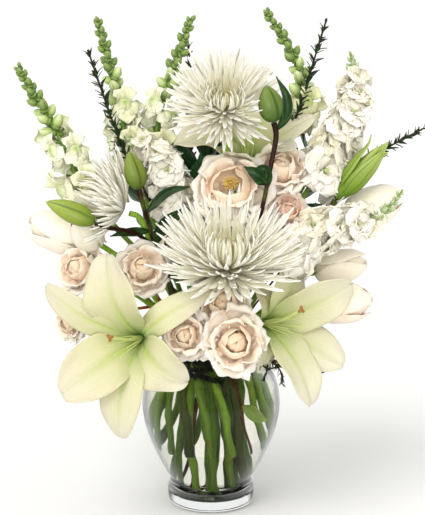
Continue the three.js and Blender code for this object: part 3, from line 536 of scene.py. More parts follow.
# Lily tepals: creamy white and fleshy, warm at the edges, with a green flame along the middle.
lily_tepal = petal_finish("lily_tepal", "#8FAE3E", "#CDCBA1", "#DAD4C3", "#AEC25E", "#F8F4EA",
                          vein="#AEBA78", veins=26, base_reach=0.42, midrib_reach=0.85,
                          vein_strength=0.35, throat="#2F551B")
throat_green = stem_finish("lily_throat_green", "#5C8A34", "#33591F", "#7FA048")
for side, lily in LILIES.items():
    random = np.random.default_rng(len(side))
    bloom = Sheets()
    turn = facing(lily["faces"])
    for i, (tip, width) in enumerate(zip(lily["tips"], lily["widths"])):
        inner = i % 2 == 0
        end = turn.T @ (np.array(tip) - np.array(lily["at"]))
        reach = math.hypot(end[0], end[1])
        rib = [(x * reach, z * reach * (1 if inner else 0.9) + end[2] * x * x) for x, z in LILY_ARCH]
        rib.append((rib[-1][0] + reach * 0.02, rib[-1][1] - reach * 0.045))
        middle = petal(rib, reach * width, (44, 21), lambda u: outline(0.2, 0.52, 0.62, u),
                       cup=0.2 if inner else -0.1, wave=0.1 if inner else 0.05, waves=2.5, groove=0.09,
                       crumple=0.03, sector=50 if inner else 40,
                       sway=reach * random.uniform(-0.04, 0.04), phase=random.uniform(0, 6))
        bearing = math.degrees(math.atan2(end[1], end[0]))
        bloom.add(turned(middle, bearing), 0.8, random.uniform(0, 0.5))
    place_piece(bloom.piece(f"lily_{side}_tepals", lily_tepal, lily), f"lily_{side}_bloom")
    points, faces = lathe([(0, 0), (3, 0.5), (4.5, 4), (8, 11), (6, 10), (0, 5)], 24)
    cup = mesh_object(f"lily_{side}_throat", stood(points, lily), faces, material=throat_green)
    place_piece(cup, f"lily_{side}_bloom")

# The lily's six pale green filaments, smooth, and its thicker style.
filament_green = stem_finish("filament_pale_green", "#D6DE96", "#BECE74", "#E0E6B4", shine=0.5)
# The three-lobed brown stigma on the style: dry grains that give a matt velvet.
stigma_brown, tree, shader = finish("stigma_velvet", {"Roughness": 0.85})
where = node(tree, "TexCoord").outputs["Object"]
grains = node(tree, "TexNoise", {"Vector": where, "Scale": 900.0, "Detail": 2.0})
hue = node(tree, "Mix", {0: grains, 6: "#6E431C", 7: "#B98743"}, data_type="RGBA")
coat(shader, hue, grains, 0.8, 0.0004)

PISTIL_FOOT = 8
STYLE_HEIGHT = 68
STIGMA_RINGS, STIGMA_SIDES = 12, 36


def ring_faces(rows):
    """The faces between each ring of points and the next."""
    after = np.roll(rows, -1, 1)
    return np.stack([rows[:-1], after[:-1], after[1:], rows[1:]], axis=2).reshape(-1, 4).tolist()


for side, lily in LILIES.items():
    random = np.random.default_rng(20 + len(side))
    threads = Strands()
    aside, rise = lily["style"]
    lean = (facing(lily["faces"]).T @ np.array([aside, 0, rise]))[:2] + (6, 0)
    style = smooth_path([(0, 0, PISTIL_FOOT), (*lean * 0.25, 32), (*lean, STYLE_HEIGHT - 2)], 16)
    threads.add(stood(style, lily), np.linspace(1.5, 1.25, 16), 0.2)
    for i in range(6):
        bearing = 60 * i + 30 + random.uniform(-8, 8)
        height = STYLE_HEIGHT * random.uniform(0.74, 0.86)
        line = smooth_path([polar(2, bearing, PISTIL_FOOT), polar(5, bearing, height * 0.45),
                            polar(10, bearing, height), polar(11, bearing, height + 0.5)], 14)
        threads.add(stood(line, lily), np.linspace(0.85, 0.4, 14), 0.5)
    pistil = f"lily_{side}_pistil"
    place_strands(f"lily_{side}_filaments", threads, filament_green, 8, pistil)
    turns, up = np.meshgrid(np.linspace(0, 2 * np.pi, STIGMA_SIDES, endpoint=False),
                            np.linspace(0, 1, STIGMA_RINGS))
    lobes = (3.1 + 1.2 * np.cos(3 * turns)) * np.sin(np.pi * np.clip(up, 0.001, 0.999)) ** 0.6
    cap = np.stack([lean[0] + lobes * np.cos(turns), lean[1] + lobes * np.sin(turns),
                    STYLE_HEIGHT - 3 + 4 * up], axis=2).reshape(-1, 3)
    rows = np.arange(len(cap)).reshape(STIGMA_RINGS, STIGMA_SIDES)
    skin = ring_faces(rows) + [rows[0][::-1].tolist(), rows[-1].tolist()]
    stigma = mesh_object(f"lily_{side}_stigma", stood(cap, lily), skin, material=stigma_brown)
    place_piece(stigma, pistil)

# ---------------------------------------------------------------- lily buds and the lilies' stems
# Closed buds of three joined tepals with a brown seam between them, on dark brown stalks, and one bud
# that has begun to split at its tip. The stems carry narrow lance leaves.


def ribbed_bud(length, radius, ribs=3, depth=0.08, fullness=0.75, around=36, along=20, seam=0.03):
    """The points, faces and UV of an egg with blunt ribs, closed at both ends."""
    u, turn = np.meshgrid(np.linspace(0, 1, along + 1)[1:-1],
                          np.linspace(0, 2 * np.pi, around, endpoint=False), indexing="ij")
    crease = np.exp(-(((ribs * turn / np.pi) % 2 - 1) / 0.12) ** 2)
    wide = radius * np.sin(np.pi * u**fullness) ** 0.7
    wide = wide * (1 + depth * np.cos(ribs * turn) - seam * crease)
    skin = np.stack([wide * np.cos(turn), wide * np.sin(turn), length * u], axis=2).reshape(-1, 3)
    points = np.vstack([skin, [(0, 0, 0), (0, 0, length)]])
    rows = np.arange(len(skin)).reshape(along - 1, around)
    after = np.roll(rows, -1, 1)
    faces = ring_faces(rows)
    faces += [[len(skin), after[0, i], rows[0, i]] for i in range(around)]
    faces += [[rows[-1, i], after[-1, i], len(skin) + 1] for i in range(around)]
    uv = np.vstack([np.stack([turn / (2 * np.pi), u], axis=2).reshape(-1, 2), [(0.5, 0), (0.5, 1)]])
    return points, faces, uv


def bud_finish(name, foot, belly, tip, seam, shine=0.4):
    """Bud skin: waxy, in one run of colour from foot to tip, with a darker seam between its tepals."""
    material, tree, shader = finish(name, {
        "Roughness": shine, "Subsurface Weight": 0.12, "Subsurface Radius": (0.7, 1.0, 0.4),
        "Subsurface Scale": 0.002})
    spot = node(tree, "UVMap", uv_map="UVMap")
    part = node(tree, "SeparateXYZ", {"Vector": spot}).outputs
    ramp = node(tree, "ValToRGB", {"Fac": part["Y"]})
    ramp.color_ramp.elements[0].color = linear(foot)
    ramp.color_ramp.elements[1].color = linear(tip)
    ramp.color_ramp.elements.new(0.35).color = linear(belly)
    thrice = node(tree, "Math", {0: part["X"], 1: 3.0, 2: 0.5}, operation="MULTIPLY_ADD")
    share = node(tree, "Math", {0: thrice}, operation="FRACT")
    off = node(tree, "Math", {0: share, 1: 0.5}, operation="SUBTRACT")
    apart = node(tree, "Math", {0: off}, operation="ABSOLUTE")
    line = node(tree, "MapRange", {
        "Value": apart, "From Min": 0.47, "From Max": 0.4, "To Min": 0.7, "To Max": 0.0},
        interpolation_type="SMOOTHSTEP")
    seamed = node(tree, "Mix", {0: line, 6: ramp, 7: seam}, data_type="RGBA")
    fine = node(tree, "Mapping", {"Vector": spot, "Scale": (40, 3, 1)})
    streak = node(tree, "TexNoise", {"Vector": fine, "Scale": 1.0, "Detail": 4.0})
    shadow = node(tree, "MapRange", {"Value": streak, "From Min": 0.35, "From Max": 0.75, "To Max": 0.35})
    skin = node(tree, "Mix", {0: shadow, 6: seamed, 7: foot}, data_type="RGBA")
    coat(shader, skin, streak, 0.4, 0.0005)
    return material


# Lily bud skin: a dull wax over green that is yellower in some buds than in others.
BUDS = {
    "upright": dict(at=(-69, -45, 326), faces=(-9, 0, 36), length=38, radius=10.5,
                    skin=bud_finish("lily_bud_yellow_green", "#4F681E", "#72862C", "#82953A", "#4C3C1A")),
    "left": dict(at=(-110, -57, 296), faces=(-47, 0, 20), length=51, radius=10.5,
                 skin=bud_finish("lily_bud_bright_green", "#647F24", "#879A30", "#A0AE48", "#4C6424")),
    "tall": dict(at=(59, -60, 391), faces=(-7, -2, 32), length=36, radius=12.5,
                 skin=bud_finish("lily_bud_mid_green", "#466624", "#5E7630", "#768A3C", "#2C471B")),
    "opening": dict(at=(122, -15, 312), faces=(47, -5, 60), length=76, radius=12, split=3,
                    skin=bud_finish("lily_bud_lime", "#5A8224", "#849E36", "#B2C264", "#3F6420")),
}
for place, bud in BUDS.items():
    split = bud.get("split", 0)
    shorter, slimmer = (0.9, 0.78) if split else (1, 1)
    points, faces, uv = ribbed_bud(bud["length"] * shorter, bud["radius"] * slimmer)
    body = mesh_object(f"lily_bud_{place}_body", stood(points, bud), faces, uv, material=bud["skin"])
    place_piece(body, f"lily_bud_{place}")
    if split:
        tepals = Sheets()
        for i in range(split):
            rise = [(0.2, 0.03), (0.98, 0.3), (1.04, 0.6), (0.9, 0.85), (0.95 + 0.2 * i, 1.0 - 0.05 * i)]
            rib = [(x * bud["radius"], z * bud["length"]) for x, z in rise]
            middle = petal(rib, 10, (24, 11), lambda u: outline(0.3, 0.35, 0.8, u), wrap=58)
            tepals.add(turned(middle, 60 + 120 * i), 1.0, 0.3)
        piece = tepals.piece("lily_bud_opening_tepals", bud["skin"], bud)
        place_piece(piece, "lily_bud_opening")

LILY_STEMS = {
    "lily_left": dict(
        place=("glass", 216), through=[(-40, -18, 225), (-52, -8, 258), (-60, -16, 284)], to=BUDS["upright"],
        stalks=[(182, [], LILIES["left"]), (262, [(-74, -26, 281)], BUDS["left"])],
        leaves=[(300, [(-42, -30, 322), (-18, -34, 328)], 4.5), (258, [(-42, -36, 292), (-23, -52, 310)], 9),
                (280, [(-84, -34, 283), (-97, -46, 281)], 4.5), (150, [(-20, -32, 161), (-3, -37, 172)], 7),
                (146, [(-26, -27, 160), (-22, -31, 174)], 8)],
    ),
    "lily_right": dict(
        place=("outer", 306), through=[(22, -14, 210), (50, -10, 255), (90, -14, 292)], to=BUDS["opening"],
        stalks=[(182, [], LILIES["right"])],
        leaves=[(146, [(20, -31, 158), (24, -30, 173)], 7), (152, [(12, -35, 160), (4, -37, 173)], 7)],
    ),
    "lily_back": dict(
        place=("inner", 315), through=[(16, 4, 240)], to=LILIES["back"],
        stalks=[(205, [(28, -30, 240), (47, -64, 305), (56, -66, 350)], BUDS["tall"])],
        bud_leaves=[([(60.7, -59.5, 383), (70, -64, 397), (71, -64, 413), (61, -60, 434)], 4.6),
                    ([(52, -66, 333), (44, -74, 343), (31, -73, 351)], 6.5),
                    ([(53, -66, 330), (50, -75, 349), (38, -72, 346)], 5)],
    ),
}


def leaf_finish(name, dark, light, midrib, veins, roughness=0.36):
    """A waxy leaf: dark skin over paler tissue, a pale midrib, and veins that run out to the edge."""
    material, tree, shader = finish(name, {
        "Roughness": roughness, "Subsurface Weight": 0.06, "Subsurface Radius": (0.4, 1.0, 0.2),
        "Subsurface Scale": 0.0015})
    spot, along, apart = on_sheet(tree)
    where = node(tree, "TexCoord").outputs["Object"]
    mottle = node(tree, "TexNoise", {"Vector": where, "Scale": 90.0, "Detail": 4.0})
    tissue = node(tree, "Mix", {0: mottle, 6: dark, 7: light}, data_type="RGBA")
    lean = node(tree, "Math", {0: apart, 1: 0.5}, operation="MULTIPLY")
    ahead = node(tree, "Math", {0: along, 1: lean}, operation="SUBTRACT")
    many = node(tree, "Math", {0: ahead, 1: veins * 2 * math.pi}, operation="MULTIPLY")
    wave = node(tree, "Math", {0: many}, operation="SINE")
    side_vein = node(tree, "MapRange", {"Value": wave, "From Min": 0.75, "To Max": 0.35})
    centre = node(tree, "MapRange", {"Value": apart, "From Max": 0.035, "To Min": 0.8, "To Max": 0.0})
    line = node(tree, "Math", {0: side_vein, 1: centre}, operation="MAXIMUM")
    veined = node(tree, "Mix", {0: line, 6: tissue, 7: midrib}, data_type="RGBA")
    coat(shader, veined, line, 0.6, 0.0005, invert=True)
    return material


def leaf_shape(u):
    return outline(0.16, 0.4, 1.0, u)


def lance(line, width, flat=(0, -1, 0), fold=0.3):
    """A leaf along a line of points, its upper side turned one way and folded up along its middle."""
    path = smooth_path(line, 26)
    ahead = np.gradient(path, axis=0)
    aside = np.cross(ahead, flat)
    aside /= np.linalg.norm(aside, axis=1, keepdims=True)
    up = np.cross(aside, ahead)
    up /= np.linalg.norm(up, axis=1, keepdims=True)
    u = np.linspace(0, 1, len(path))[:, None, None]
    v = np.linspace(-1, 1, 9)[None, :, None]
    half = np.maximum(width * leaf_shape(u), 0.5)
    lift = fold * half * v**2 + 0.08 * width * v**2 * np.sin(9 * u + 2 * np.sign(v))
    return path[:, None] + aside[:, None] * half * v + up[:, None] * lift


# Lance leaves: a dark waxy green that takes a soft shine. Their stalks are darker, and brown higher up.
lance_leaf = leaf_finish("lily_leaf_waxy", "#16300F", "#27481E", "#4E7636", veins=2)
lily_stalk_skin = stem_finish("lily_stalk_brown_green", "#6A7C2C", "#444A1C", "#32180E",
                              shine=0.35, gloss=0.3)
for name, plant in LILY_STEMS.items():
    strands, main = lay_stem(plant, 4, 0.5, slimmer=0.35, browner=0.4)
    place_strands(name + "_stalks", strands, lily_stalk_skin, 12, name + "_stem")
    leaves = Sheets()
    for height, line, width in plant.get("leaves", []):
        leaves.add(lance([main[np.argmax(main[:, 2] >= height)], *line], width), 0.7, 0.4)
    for line, width in plant.get("bud_leaves", []):
        leaves.add(lance(line, width, fold=0.5), 0.7, 0.4)
    place_piece(leaves.piece(name + "_lance_leaves", lance_leaf), name + "_stem")

# ---------------------------------------------------------------- tulips
# Ivory tulips, half shut: three outer tepals wrapped round three inner ones, satin, with fine lines
# from base to tip and a pale green flame at the base. One has frilled edges and a warmer tone.

TULIPS = {
    "left": dict(at=(-122, 6, 268), faces=(-60, -8, 20), length=64, radius=20, turn=20,
                 place=("glass", 144), through=[(-45, 16, 195), (-80, 15, 238)]),
    "small": dict(at=(-115, -18, 264), faces=(-12, -14, 34), length=40, radius=15, turn=70, stalk=3,
                  place=("glass", 168), through=[(-50, -2, 195), (-82, -8, 232)]),
    "fringed": dict(at=(97, -34, 215), faces=(59, -14, 0), length=61, radius=20, turn=40, frill=0.04,
                    place=("glass", 312), through=[(42, -23, 188), (66, -29, 206)]),
    "right": dict(at=(103, 8, 236), faces=(53, -6, 13), length=55, radius=17, turn=0,
                  place=("glass", 336), through=[(48, -10, 192), (72, 1, 217)]),
    "far": dict(at=(133, 0, 291), faces=(56, 0, 25), length=61, radius=20, turn=55,
                place=("glass", 0), through=[(60, 6, 205), (95, 4, 262)]),
}
TULIP_RIBS = [  # the inner tepals and then the outer ones, and half of the turn that each wraps
    ([(0.1, 0.02), (0.6, 0.12), (0.86, 0.32), (0.84, 0.55), (0.58, 0.82), (0.06, 0.97)], 66),
    ([(0.1, 0.01), (0.7, 0.1), (0.98, 0.3), (1.0, 0.52), (0.84, 0.8), (0.42, 1.0)], 62),
]
TULIP_STALK = 3.2

# Tulip tepals: satin, smoother than the lilies', ivory or, on the frilled one, a warmer cream.
ivory_tepal = petal_finish("tulip_tepal_ivory", "#C3CE92", "#F4ECDC", "#FAF2E4", "#E4E2C0", "#F8F0E0",
                           vein="#D2CBB0", veins=34, roughness=0.42, base_reach=0.2, midrib_reach=0.9)
frilled_tepal = petal_finish("tulip_tepal_cream", "#D3CB9C", "#F6E6D0", "#FAEEDE", "#ECDCBC", "#F8E8D6",
                             vein="#D6C0A2", veins=40, roughness=0.42, base_reach=0.2, midrib_reach=0.9,
                             vein_strength=0.3)
for name, tulip in TULIPS.items():
    frilled = "frill" in tulip
    tepals = Sheets()
    for ring, (rib, wrap) in enumerate(TULIP_RIBS):
        for i in range(3):
            tall = 0.97 + 0.03 * math.sin(i + ring)
            rise = [(x * tulip["radius"], z * tulip["length"] * tall) for x, z in rib]
            middle = petal(rise, tulip["radius"], (30, 19),
                           lambda u: outline(0.3, 0.5, 0.42, 0.985 * u), wave=tulip.get("frill", 0.02),
                           waves=5 if frilled else 1.5, groove=0.03, wrap=wrap, phase=i * 2.1)
            tepals.add(turned(middle, 120 * i + 60 * ring + tulip["turn"]), 0.9, 0.15 + 0.2 * (1 - ring))
    skin = frilled_tepal if frilled else ivory_tepal
    place_piece(tepals.piece(f"tulip_{name}_tepals", skin, tulip), f"tulip_{name}_bloom")
    strands, main = lay_stem(tulip, tulip.get("stalk", TULIP_STALK), 0.1, to=tulip)
    place_strands(f"tulip_{name}_stalk", strands, green_stem_skin, 12, f"tulip_{name}_stem")

# A scrap of a tulip's pale green leaf, folded, under the water by the glass, thin. Its bright pale green is
# partly painted light: it is coloured lighter than a leaf of its kind, so that it looks bright though it lies
# in shade.
scrap_leaf_painted_bright = leaf_finish("tulip_leaf_pale_painted_bright", "#A9D84A", "#C2E86A", "#DDF09A", veins=3)
scrap = Sheets()
scrap_line = [(29, -42, 112), (36, -46, 108), (44, -46, 102), (55, -40, 96)]
scrap.add(lance(scrap_line, 6.5, fold=0.1, flat=(0.2, -1, 0.3)), 0.7, 0.4)
place_piece(scrap.piece("tulip_fringed_leaf_scrap", scrap_leaf_painted_bright), "tulip_fringed_stem")

# ---------------------------------------------------------------- spider mums
# Large white spider chrysanthemums: hundreds of narrow trough-shaped ray florets from a small dome,
# long and straight outside, short, bent in and greenish over the eye.

MUMS = {
    "top": dict(at=(14, -26, 400), faces=(0, -0.82, 0.57), radius=55, opened=76,
                place=("middle", 0), through=[(8, -2, 260), (13, -14, 335), (14, -11, 392)]),
    "front": dict(at=(16, -63, 249), faces=(0, -0.6, 0.8), radius=70, opened=72,
                  place=("glass", 264), through=[(18, -40, 205), (20, -54, 232)]),
    "left": dict(at=(-80, -13, 299), faces=(-0.8, -0.3, 0.4), radius=56, opened=62, heart=0.7,
                 place=("outer", 198), through=[(-50, 0, 235)]),
}
MUM_STALK = 3.2
RAYS = 320
RAY_LENGTH = 60
RAY_CLEARANCE = 3
YOUNG_SHARE = 0.45
GOLDEN_ANGLE = 137.5

# Copies of one small piece stand on points, each turned and sized by the point's own values.
pieces_on_points, given = new_tree("pieces", Piece="Object", Unevenness="Float", Seed="Int")
piece = node(pieces_on_points, "ObjectInfo", {"Object": given["Piece"]}).outputs["Geometry"]
turn = node(pieces_on_points, "InputNamedAttribute", {"Name": "facing"}, data_type="FLOAT_VECTOR")
size = node(pieces_on_points, "InputNamedAttribute", {"Name": "size"}, data_type="FLOAT_VECTOR")
low = node(pieces_on_points, "ShaderNodeMath", {0: 1.0, 1: given["Unevenness"]}, operation="SUBTRACT")
high = node(pieces_on_points, "ShaderNodeMath", {0: 1.0, 1: given["Unevenness"]}, operation="ADD")
chance = node(pieces_on_points, "FunctionNodeRandomValue", {2: low, 3: high, "Seed": given["Seed"]},
              data_type="FLOAT")
scale = node(pieces_on_points, "ShaderNodeVectorMath", {0: size, "Scale": chance}, operation="SCALE")
end_tree(pieces_on_points, node(pieces_on_points, "InstanceOnPoints", {
    "Points": given["Geometry"], "Instance": piece, "Rotation": turn, "Scale": scale}), given)


class Places:
    """Where copies of a piece stand: a point, the way each faces, the way its front turns, and its size."""

    def __init__(self):
        self.points, self.edges, self.numbers = [], [], {"facing": [], "size": [], "tint": []}

    def add(self, point, faces, toward, size, tint=0.5):
        self.points.append(point)
        self.numbers["facing"].append(tuple(Matrix(upright(faces, toward)).to_euler()))
        self.numbers["size"].append(np.broadcast_to(size, 3))
        self.numbers["tint"].append(tint)


def stand_pieces(name, places, small, skin, seed, cad_node, unevenness=0.08):
    """The copies as one plain mesh, placed; a copy's size is a share of the small piece's own."""
    copies = run_tree(name, places, pieces_on_points,
                      Piece=small, Unevenness=unevenness, Seed=seed, Finish=skin)
    place_piece(copies, cad_node)


def ray_floret(name, rib):
    """A ray floret: a narrow trough that tapers to a point, open towards the flower's middle."""
    ray = Sheets()
    ray.add(petal(rib, 2.2, (8, 3), lambda u: outline(0.45, 0.62, 0.7, u), cup=0.35, least=0.2), 0.6)
    return ray.piece(name, tinted=False)


def in_the_way():
    """The middle and radius of each bud and tulip, which the rays grow clear of."""
    for flower in (*BUDS.values(), *TULIPS.values()):
        for share in (0.25, 0.5, 0.75):
            middle = np.array(flower["at"]) + unit(flower["faces"]) * flower["length"] * share
            yield middle, flower["radius"] + RAY_CLEARANCE


# Mum rays: thin and juicy, so that light passes through and fills them with a warm white.
mum_petal = petal_finish("mum_ray_floret", "#EAEAA8", "#FFF7D6", "#FFFCE8", "#FDF5CC", "#F3EC9C",
                         vein="#EDE8C8", veins=5, roughness=0.55, glow=0.9, deep=0.003)
young_ray = ray_floret("young_ray", [(0, 0), (4, 16), (5, 34), (0, 51), (-8, RAY_LENGTH)])
grown_ray = ray_floret("grown_ray", [(0, 0), (2, 16), (3, 34), (2, 49), (-1, RAY_LENGTH)])
for side, mum in MUMS.items():
    random = np.random.default_rng(mum["radius"])
    turn = facing(mum["faces"])
    heart = mum.get("heart", 0.26)
    young, grown = Places(), Places()
    for i in range(RAYS):
        share = ((i + 0.5) / RAYS) ** 0.56
        bearing = GOLDEN_ANGLE * i + random.uniform(-7, 7)
        lean = math.radians(mum["opened"] * share * random.uniform(0.93, 1.07))
        length = mum["radius"] * (heart + (1.04 - heart) * math.sin(math.pi / 2 * min(1, 1.3 * share)))
        length *= random.uniform(0.86, 1.05)
        out = polar(1, bearing, 0)
        root = np.array([0, 0, 6.0]) + polar(4 * math.sin(lean), bearing, 3.5 * math.cos(lean))
        faces = out * math.sin(lean) + np.array([0, 0, math.cos(lean)])
        toward = out * math.cos(lean) - np.array([0, 0, math.sin(lean)])
        line = (root + np.outer(np.linspace(0, length, 8), faces)) @ turn.T + mum["at"]
        if any(np.linalg.norm(line - middle, axis=1).min() < radius for middle, radius in in_the_way()):
            continue
        rays = young if share < YOUNG_SHARE else grown
        greenness = max(0, 1 - 2.4 * share)
        rays.add(turn @ root + mum["at"], turn @ faces, turn @ toward, length / RAY_LENGTH, greenness)
    bloom = f"mum_{side}_bloom"
    stand_pieces(f"mum_{side}_young_rays", young, young_ray, mum_petal, 5, bloom)
    stand_pieces(f"mum_{side}_grown_rays", grown, grown_ray, mum_petal, 5, bloom)
    strands, main = lay_stem(mum, MUM_STALK, 0.5, to=mum)
    place_strands(f"mum_{side}_stalk", strands, green_stem_skin, 12, f"mum_{side}_stem")

# ---------------------------------------------------------------- spray roses
# Nine garden spray roses in pale cream and peach, on three branched stems. The heart is a wrapped
# peach bud; broad waved petals stand round it, and the outermost roll back at their edges.

ROSES = {
    "left": dict(at=(-124, -15, 241), faces=(-0.55, -0.75, 0.35), radius=25),
    "small": dict(at=(-133, -33, 195), faces=(-0.6, -0.8, 0), radius=18),
    "middle": dict(at=(-68, -28, 242), faces=(0.1, -0.85, 0.5), radius=25),
    "low": dict(at=(-24, -74, 192), faces=(-0.05, -0.97, 0.1), radius=23),
    "under": dict(at=(10, -62, 218), faces=(0.05, -0.95, 0.3), radius=27),
    "front": dict(at=(21, -85, 185), faces=(0.1, -0.95, 0.25), radius=30),
    "open": dict(at=(21, -33, 321), faces=(-0.1, -0.8, 0.55), radius=33),
    "high": dict(at=(66, -20, 335), faces=(0.1, -0.7, 0.7), radius=28),
    "blush": dict(at=(71, -31, 301), faces=(0.3, -0.85, 0.3), radius=20),
}
ROSE_STEMS = {
    "left": dict(place=("glass", 192), through=[(-70, -15, 215), (-100, -12, 232)], to=ROSES["left"],
                 stalks=[(190, [(-58, -20, 225)], ROSES["middle"]),
                         (205, [(-105, -22, 200)], ROSES["small"])]),
    "front": dict(place=("glass", 240), through=[(-6, -42, 195)], to=ROSES["under"],
                  stalks=[(182, [], ROSES["low"]), (186, [(8, -54, 189)], ROSES["front"])]),
    "back": dict(place=("outer", 270), through=[(5, -25, 240), (15, -25, 290)], to=ROSES["open"],
                 stalks=[(260, [(45, -15, 305)], ROSES["high"]), (245, [(40, -22, 275)], ROSES["blush"])]),
}
ROSE_WHIRLS = [  # petals, their rib as shares of the radius, half of the turn that each wraps, waviness, tint
    (3, [(0.06, 0.1), (0.27, 0.3), (0.33, 0.58), (0.24, 0.8), (-0.03, 0.9)], 96, 0.0, 0.9),
    (3, [(0.1, 0.08), (0.4, 0.22), (0.47, 0.5), (0.42, 0.78), (0.32, 0.9)], 78, 0.06, 0.7),
    (5, [(0.1, 0.06), (0.5, 0.14), (0.68, 0.42), (0.72, 0.68), (0.82, 0.76)], 50, 0.15, 0.35),
    (6, [(0.1, 0.04), (0.55, 0.07), (0.86, 0.26), (0.98, 0.46), (1.09, 0.5), (1.12, 0.42)], 46, 0.2, 0.05),
]
STAMENS = 44
STAMEN_RADII = [0.3, 0.25, 0.25, 0.3, 0.8, 0.6]

# Rose petals: thin, dry and matt, so that light between them glows peach. One rose is pinker.
rose_petal = petal_finish("rose_petal_cream", "#FBE1BA", "#FFECD8", "#FFF5E6", "#FDEBD2", "#FCE0C4",
                          vein="#F6DEC8", veins=20, roughness=0.6, glow=0.6, deep=0.002, base_reach=0.4)
blush_petal = petal_finish("rose_petal_blush", "#F0CFAA", "#F8DAC6", "#FBEADC", "#F4D6C0", "#F6CDB4",
                           vein="#E6BFA8", veins=20, roughness=0.6, glow=0.6, deep=0.002, base_reach=0.4)
# Stamens dusted with pollen: matt gold.
stamen_gold = stem_finish("rose_stamen_gold", "#F2DA86", "#E0BC5C", "#C89A48", shine=0.7)
for name, rose in ROSES.items():
    random = np.random.default_rng(rose["radius"] + len(name))
    size = rose["radius"]
    is_open = name == "open"
    petals = Sheets()
    for whirl, (count, rib, wrap, wave, tint) in enumerate(ROSE_WHIRLS):
        if is_open and whirl == 0:
            continue
        start = random.uniform(0, 360)
        for i in range(count):
            shaped = np.array(rib) * random.uniform(0.96, 1.04, (len(rib), 2))
            shaped = shaped * random.uniform(0.88, 1.08, 2) * size
            if is_open:
                shaped *= (1.25, 0.78) if whirl == 1 else (1.08, 0.9)
            middle = petal(shaped, size, (18, 19), lambda u: outline(0.3, 0.6, 0.32, 0.97 * u),
                           wave=wave * random.uniform(0.6, 1.4), waves=random.uniform(1.1, 2.6),
                           wrap=wrap * random.uniform(0.9, 1.1), phase=random.uniform(0, 6),
                           crumple=0.5 * wave)
            bearing = start + 360 / count * i + random.uniform(-14, 14)
            petals.add(turned(middle, bearing), 0.5, tint * random.uniform(0.8, 1.1))
    skin = blush_petal if name == "blush" else rose_petal
    place_piece(petals.piece(f"rose_{name}_petals", skin, rose), f"rose_{name}_bloom")
    if is_open:
        threads = Strands()
        for i in range(STAMENS):
            bearing, reach = GOLDEN_ANGLE * i, size * 0.24 * math.sqrt(i / STAMENS)
            tip = polar(reach, bearing, size * random.uniform(0.62, 0.74))
            foot = polar(reach * 0.2, bearing, size * 0.25)
            line = smooth_path([foot, polar(reach * 0.7, bearing, size * 0.5), tip], len(STAMEN_RADII))
            threads.add(stood(line, rose), STAMEN_RADII, random.uniform(0, 1))
        place_strands("rose_open_stamens", threads, stamen_gold, 5, "rose_open_bloom")

# Rose canes and foliage twigs: woodier than the soft stems, with more red-brown bark on the green.
rose_cane = stem_finish("rose_cane_green_brown", "#94BC40", "#5E862C", "#963C14")
for side, plant in ROSE_STEMS.items():
    strands, main = lay_stem(plant, 3, 0.6)
    place_strands(f"rose_spray_{side}_canes", strands, rose_cane, 12, f"rose_spray_{side}_stem")

# ---------------------------------------------------------------- snapdragons
# White snapdragon spikes: ruffled two-lipped florets low down, each in a small green calyx, then
# swelling yellow-green buds, then tight green buds up to the nodding tip.

SNAPDRAGONS = {
    "left": dict(place=("glass", 120), lowest=290, open=0.56,
                 through=[(-60, 18, 240), (-126, 10, 319), (-150, 15, 369), (-191, 20, 440)]),
    "middle": dict(place=("outer", 162), lowest=325, open=0.46,
                   through=[(-48, 22, 260), (-83, 25, 358), (-94, 35, 413), (-113, 40, 485)]),
    "back": dict(place=("outer", 126), lowest=320, open=0.5,
                 through=[(-30, 32, 260), (-57, 35, 357), (-44, 45, 417), (-21, 55, 487)]),
    "right": dict(place=("inner", 45), lowest=372, open=0.24,
                  through=[(30, 25, 260), (70, 38, 340), (92, 40, 423), (83, 45, 452), (57, 55, 494)]),
}
SNAPDRAGON_LOBES = [(-32, 0.95, 1.2), (32, 0.9, 1.15), (122, 0.85, 0.6), (180, 1.0, 0.5), (238, 0.85, 0.62)]
STEM_POINTS = 200
SNAPDRAGON_SPACING = 3.9
SNAPDRAGON_SIZE = 25
CALYX_SIZE = (12, 12, 10)
SWELLING_SHARE = 0.36


def side_way(path, index, bearing, lean):
    """The way a floret faces that leans off the stem by so many degrees, at a bearing round it."""
    along = unit(path[min(index + 1, len(path) - 1)] - path[max(index - 1, 0)])
    aside = unit(np.cross(along, (0, 1, 0)))
    aside = np.array(Quaternion(along.tolist(), math.radians(bearing)) @ Vector(aside.tolist()))
    return aside * math.sin(math.radians(lean)) + along * math.cos(math.radians(lean)), along


def flowering_part(main, lowest):
    """The part of a stem above a height, as evenly spaced points, and its length."""
    path = smooth_path(main[np.argmax(main[:, 2] >= lowest):], STEM_POINTS)
    return path, np.linalg.norm(np.diff(path, axis=0), axis=1).sum()


def ruffle_shape(u):
    return outline(0.3, 0.72, 0.5, u)


def snapdragon_floret(name, phase):
    """A floret of one millimetre: a short tube, a closed mouth, and two upper and three lower waved lobes."""
    lobes = Sheets()
    for i, (turn, reach, lift) in enumerate(SNAPDRAGON_LOBES):
        rib = [(0.1, 0.0), (0.28, 0.35), (0.42, 0.75), (0.72 * reach, lift), (reach, lift - 0.16)]
        middle = petal(rib, 0.5, (8, 9), ruffle_shape, cup=0.1, wave=0.24, waves=1.7, wrap=42,
                       phase=phase + 1.7 * i, least=0.01)
        lobes.add(turned(middle, turn), 0.05, 0.2)
    mouth = [(0.02, 0.95), (0.22, 0.9), (0.37, 0.72), (0.38, 0.4)]
    lobes.add(petal(mouth, 1, (5, 11), np.ones_like, wrap=178), 0.05, 0.6)
    return lobes.piece(name, tinted=False)


florets = [snapdragon_floret("snapdragon_floret_a", 0.0), snapdragon_floret("snapdragon_floret_b", 2.5)]
points, faces, uv = ribbed_bud(1.0, 0.34, ribs=5, depth=0.06, fullness=0.8, around=8, along=7, seam=0.0)
bud_small = mesh_object("small_bud", points, faces, uv)
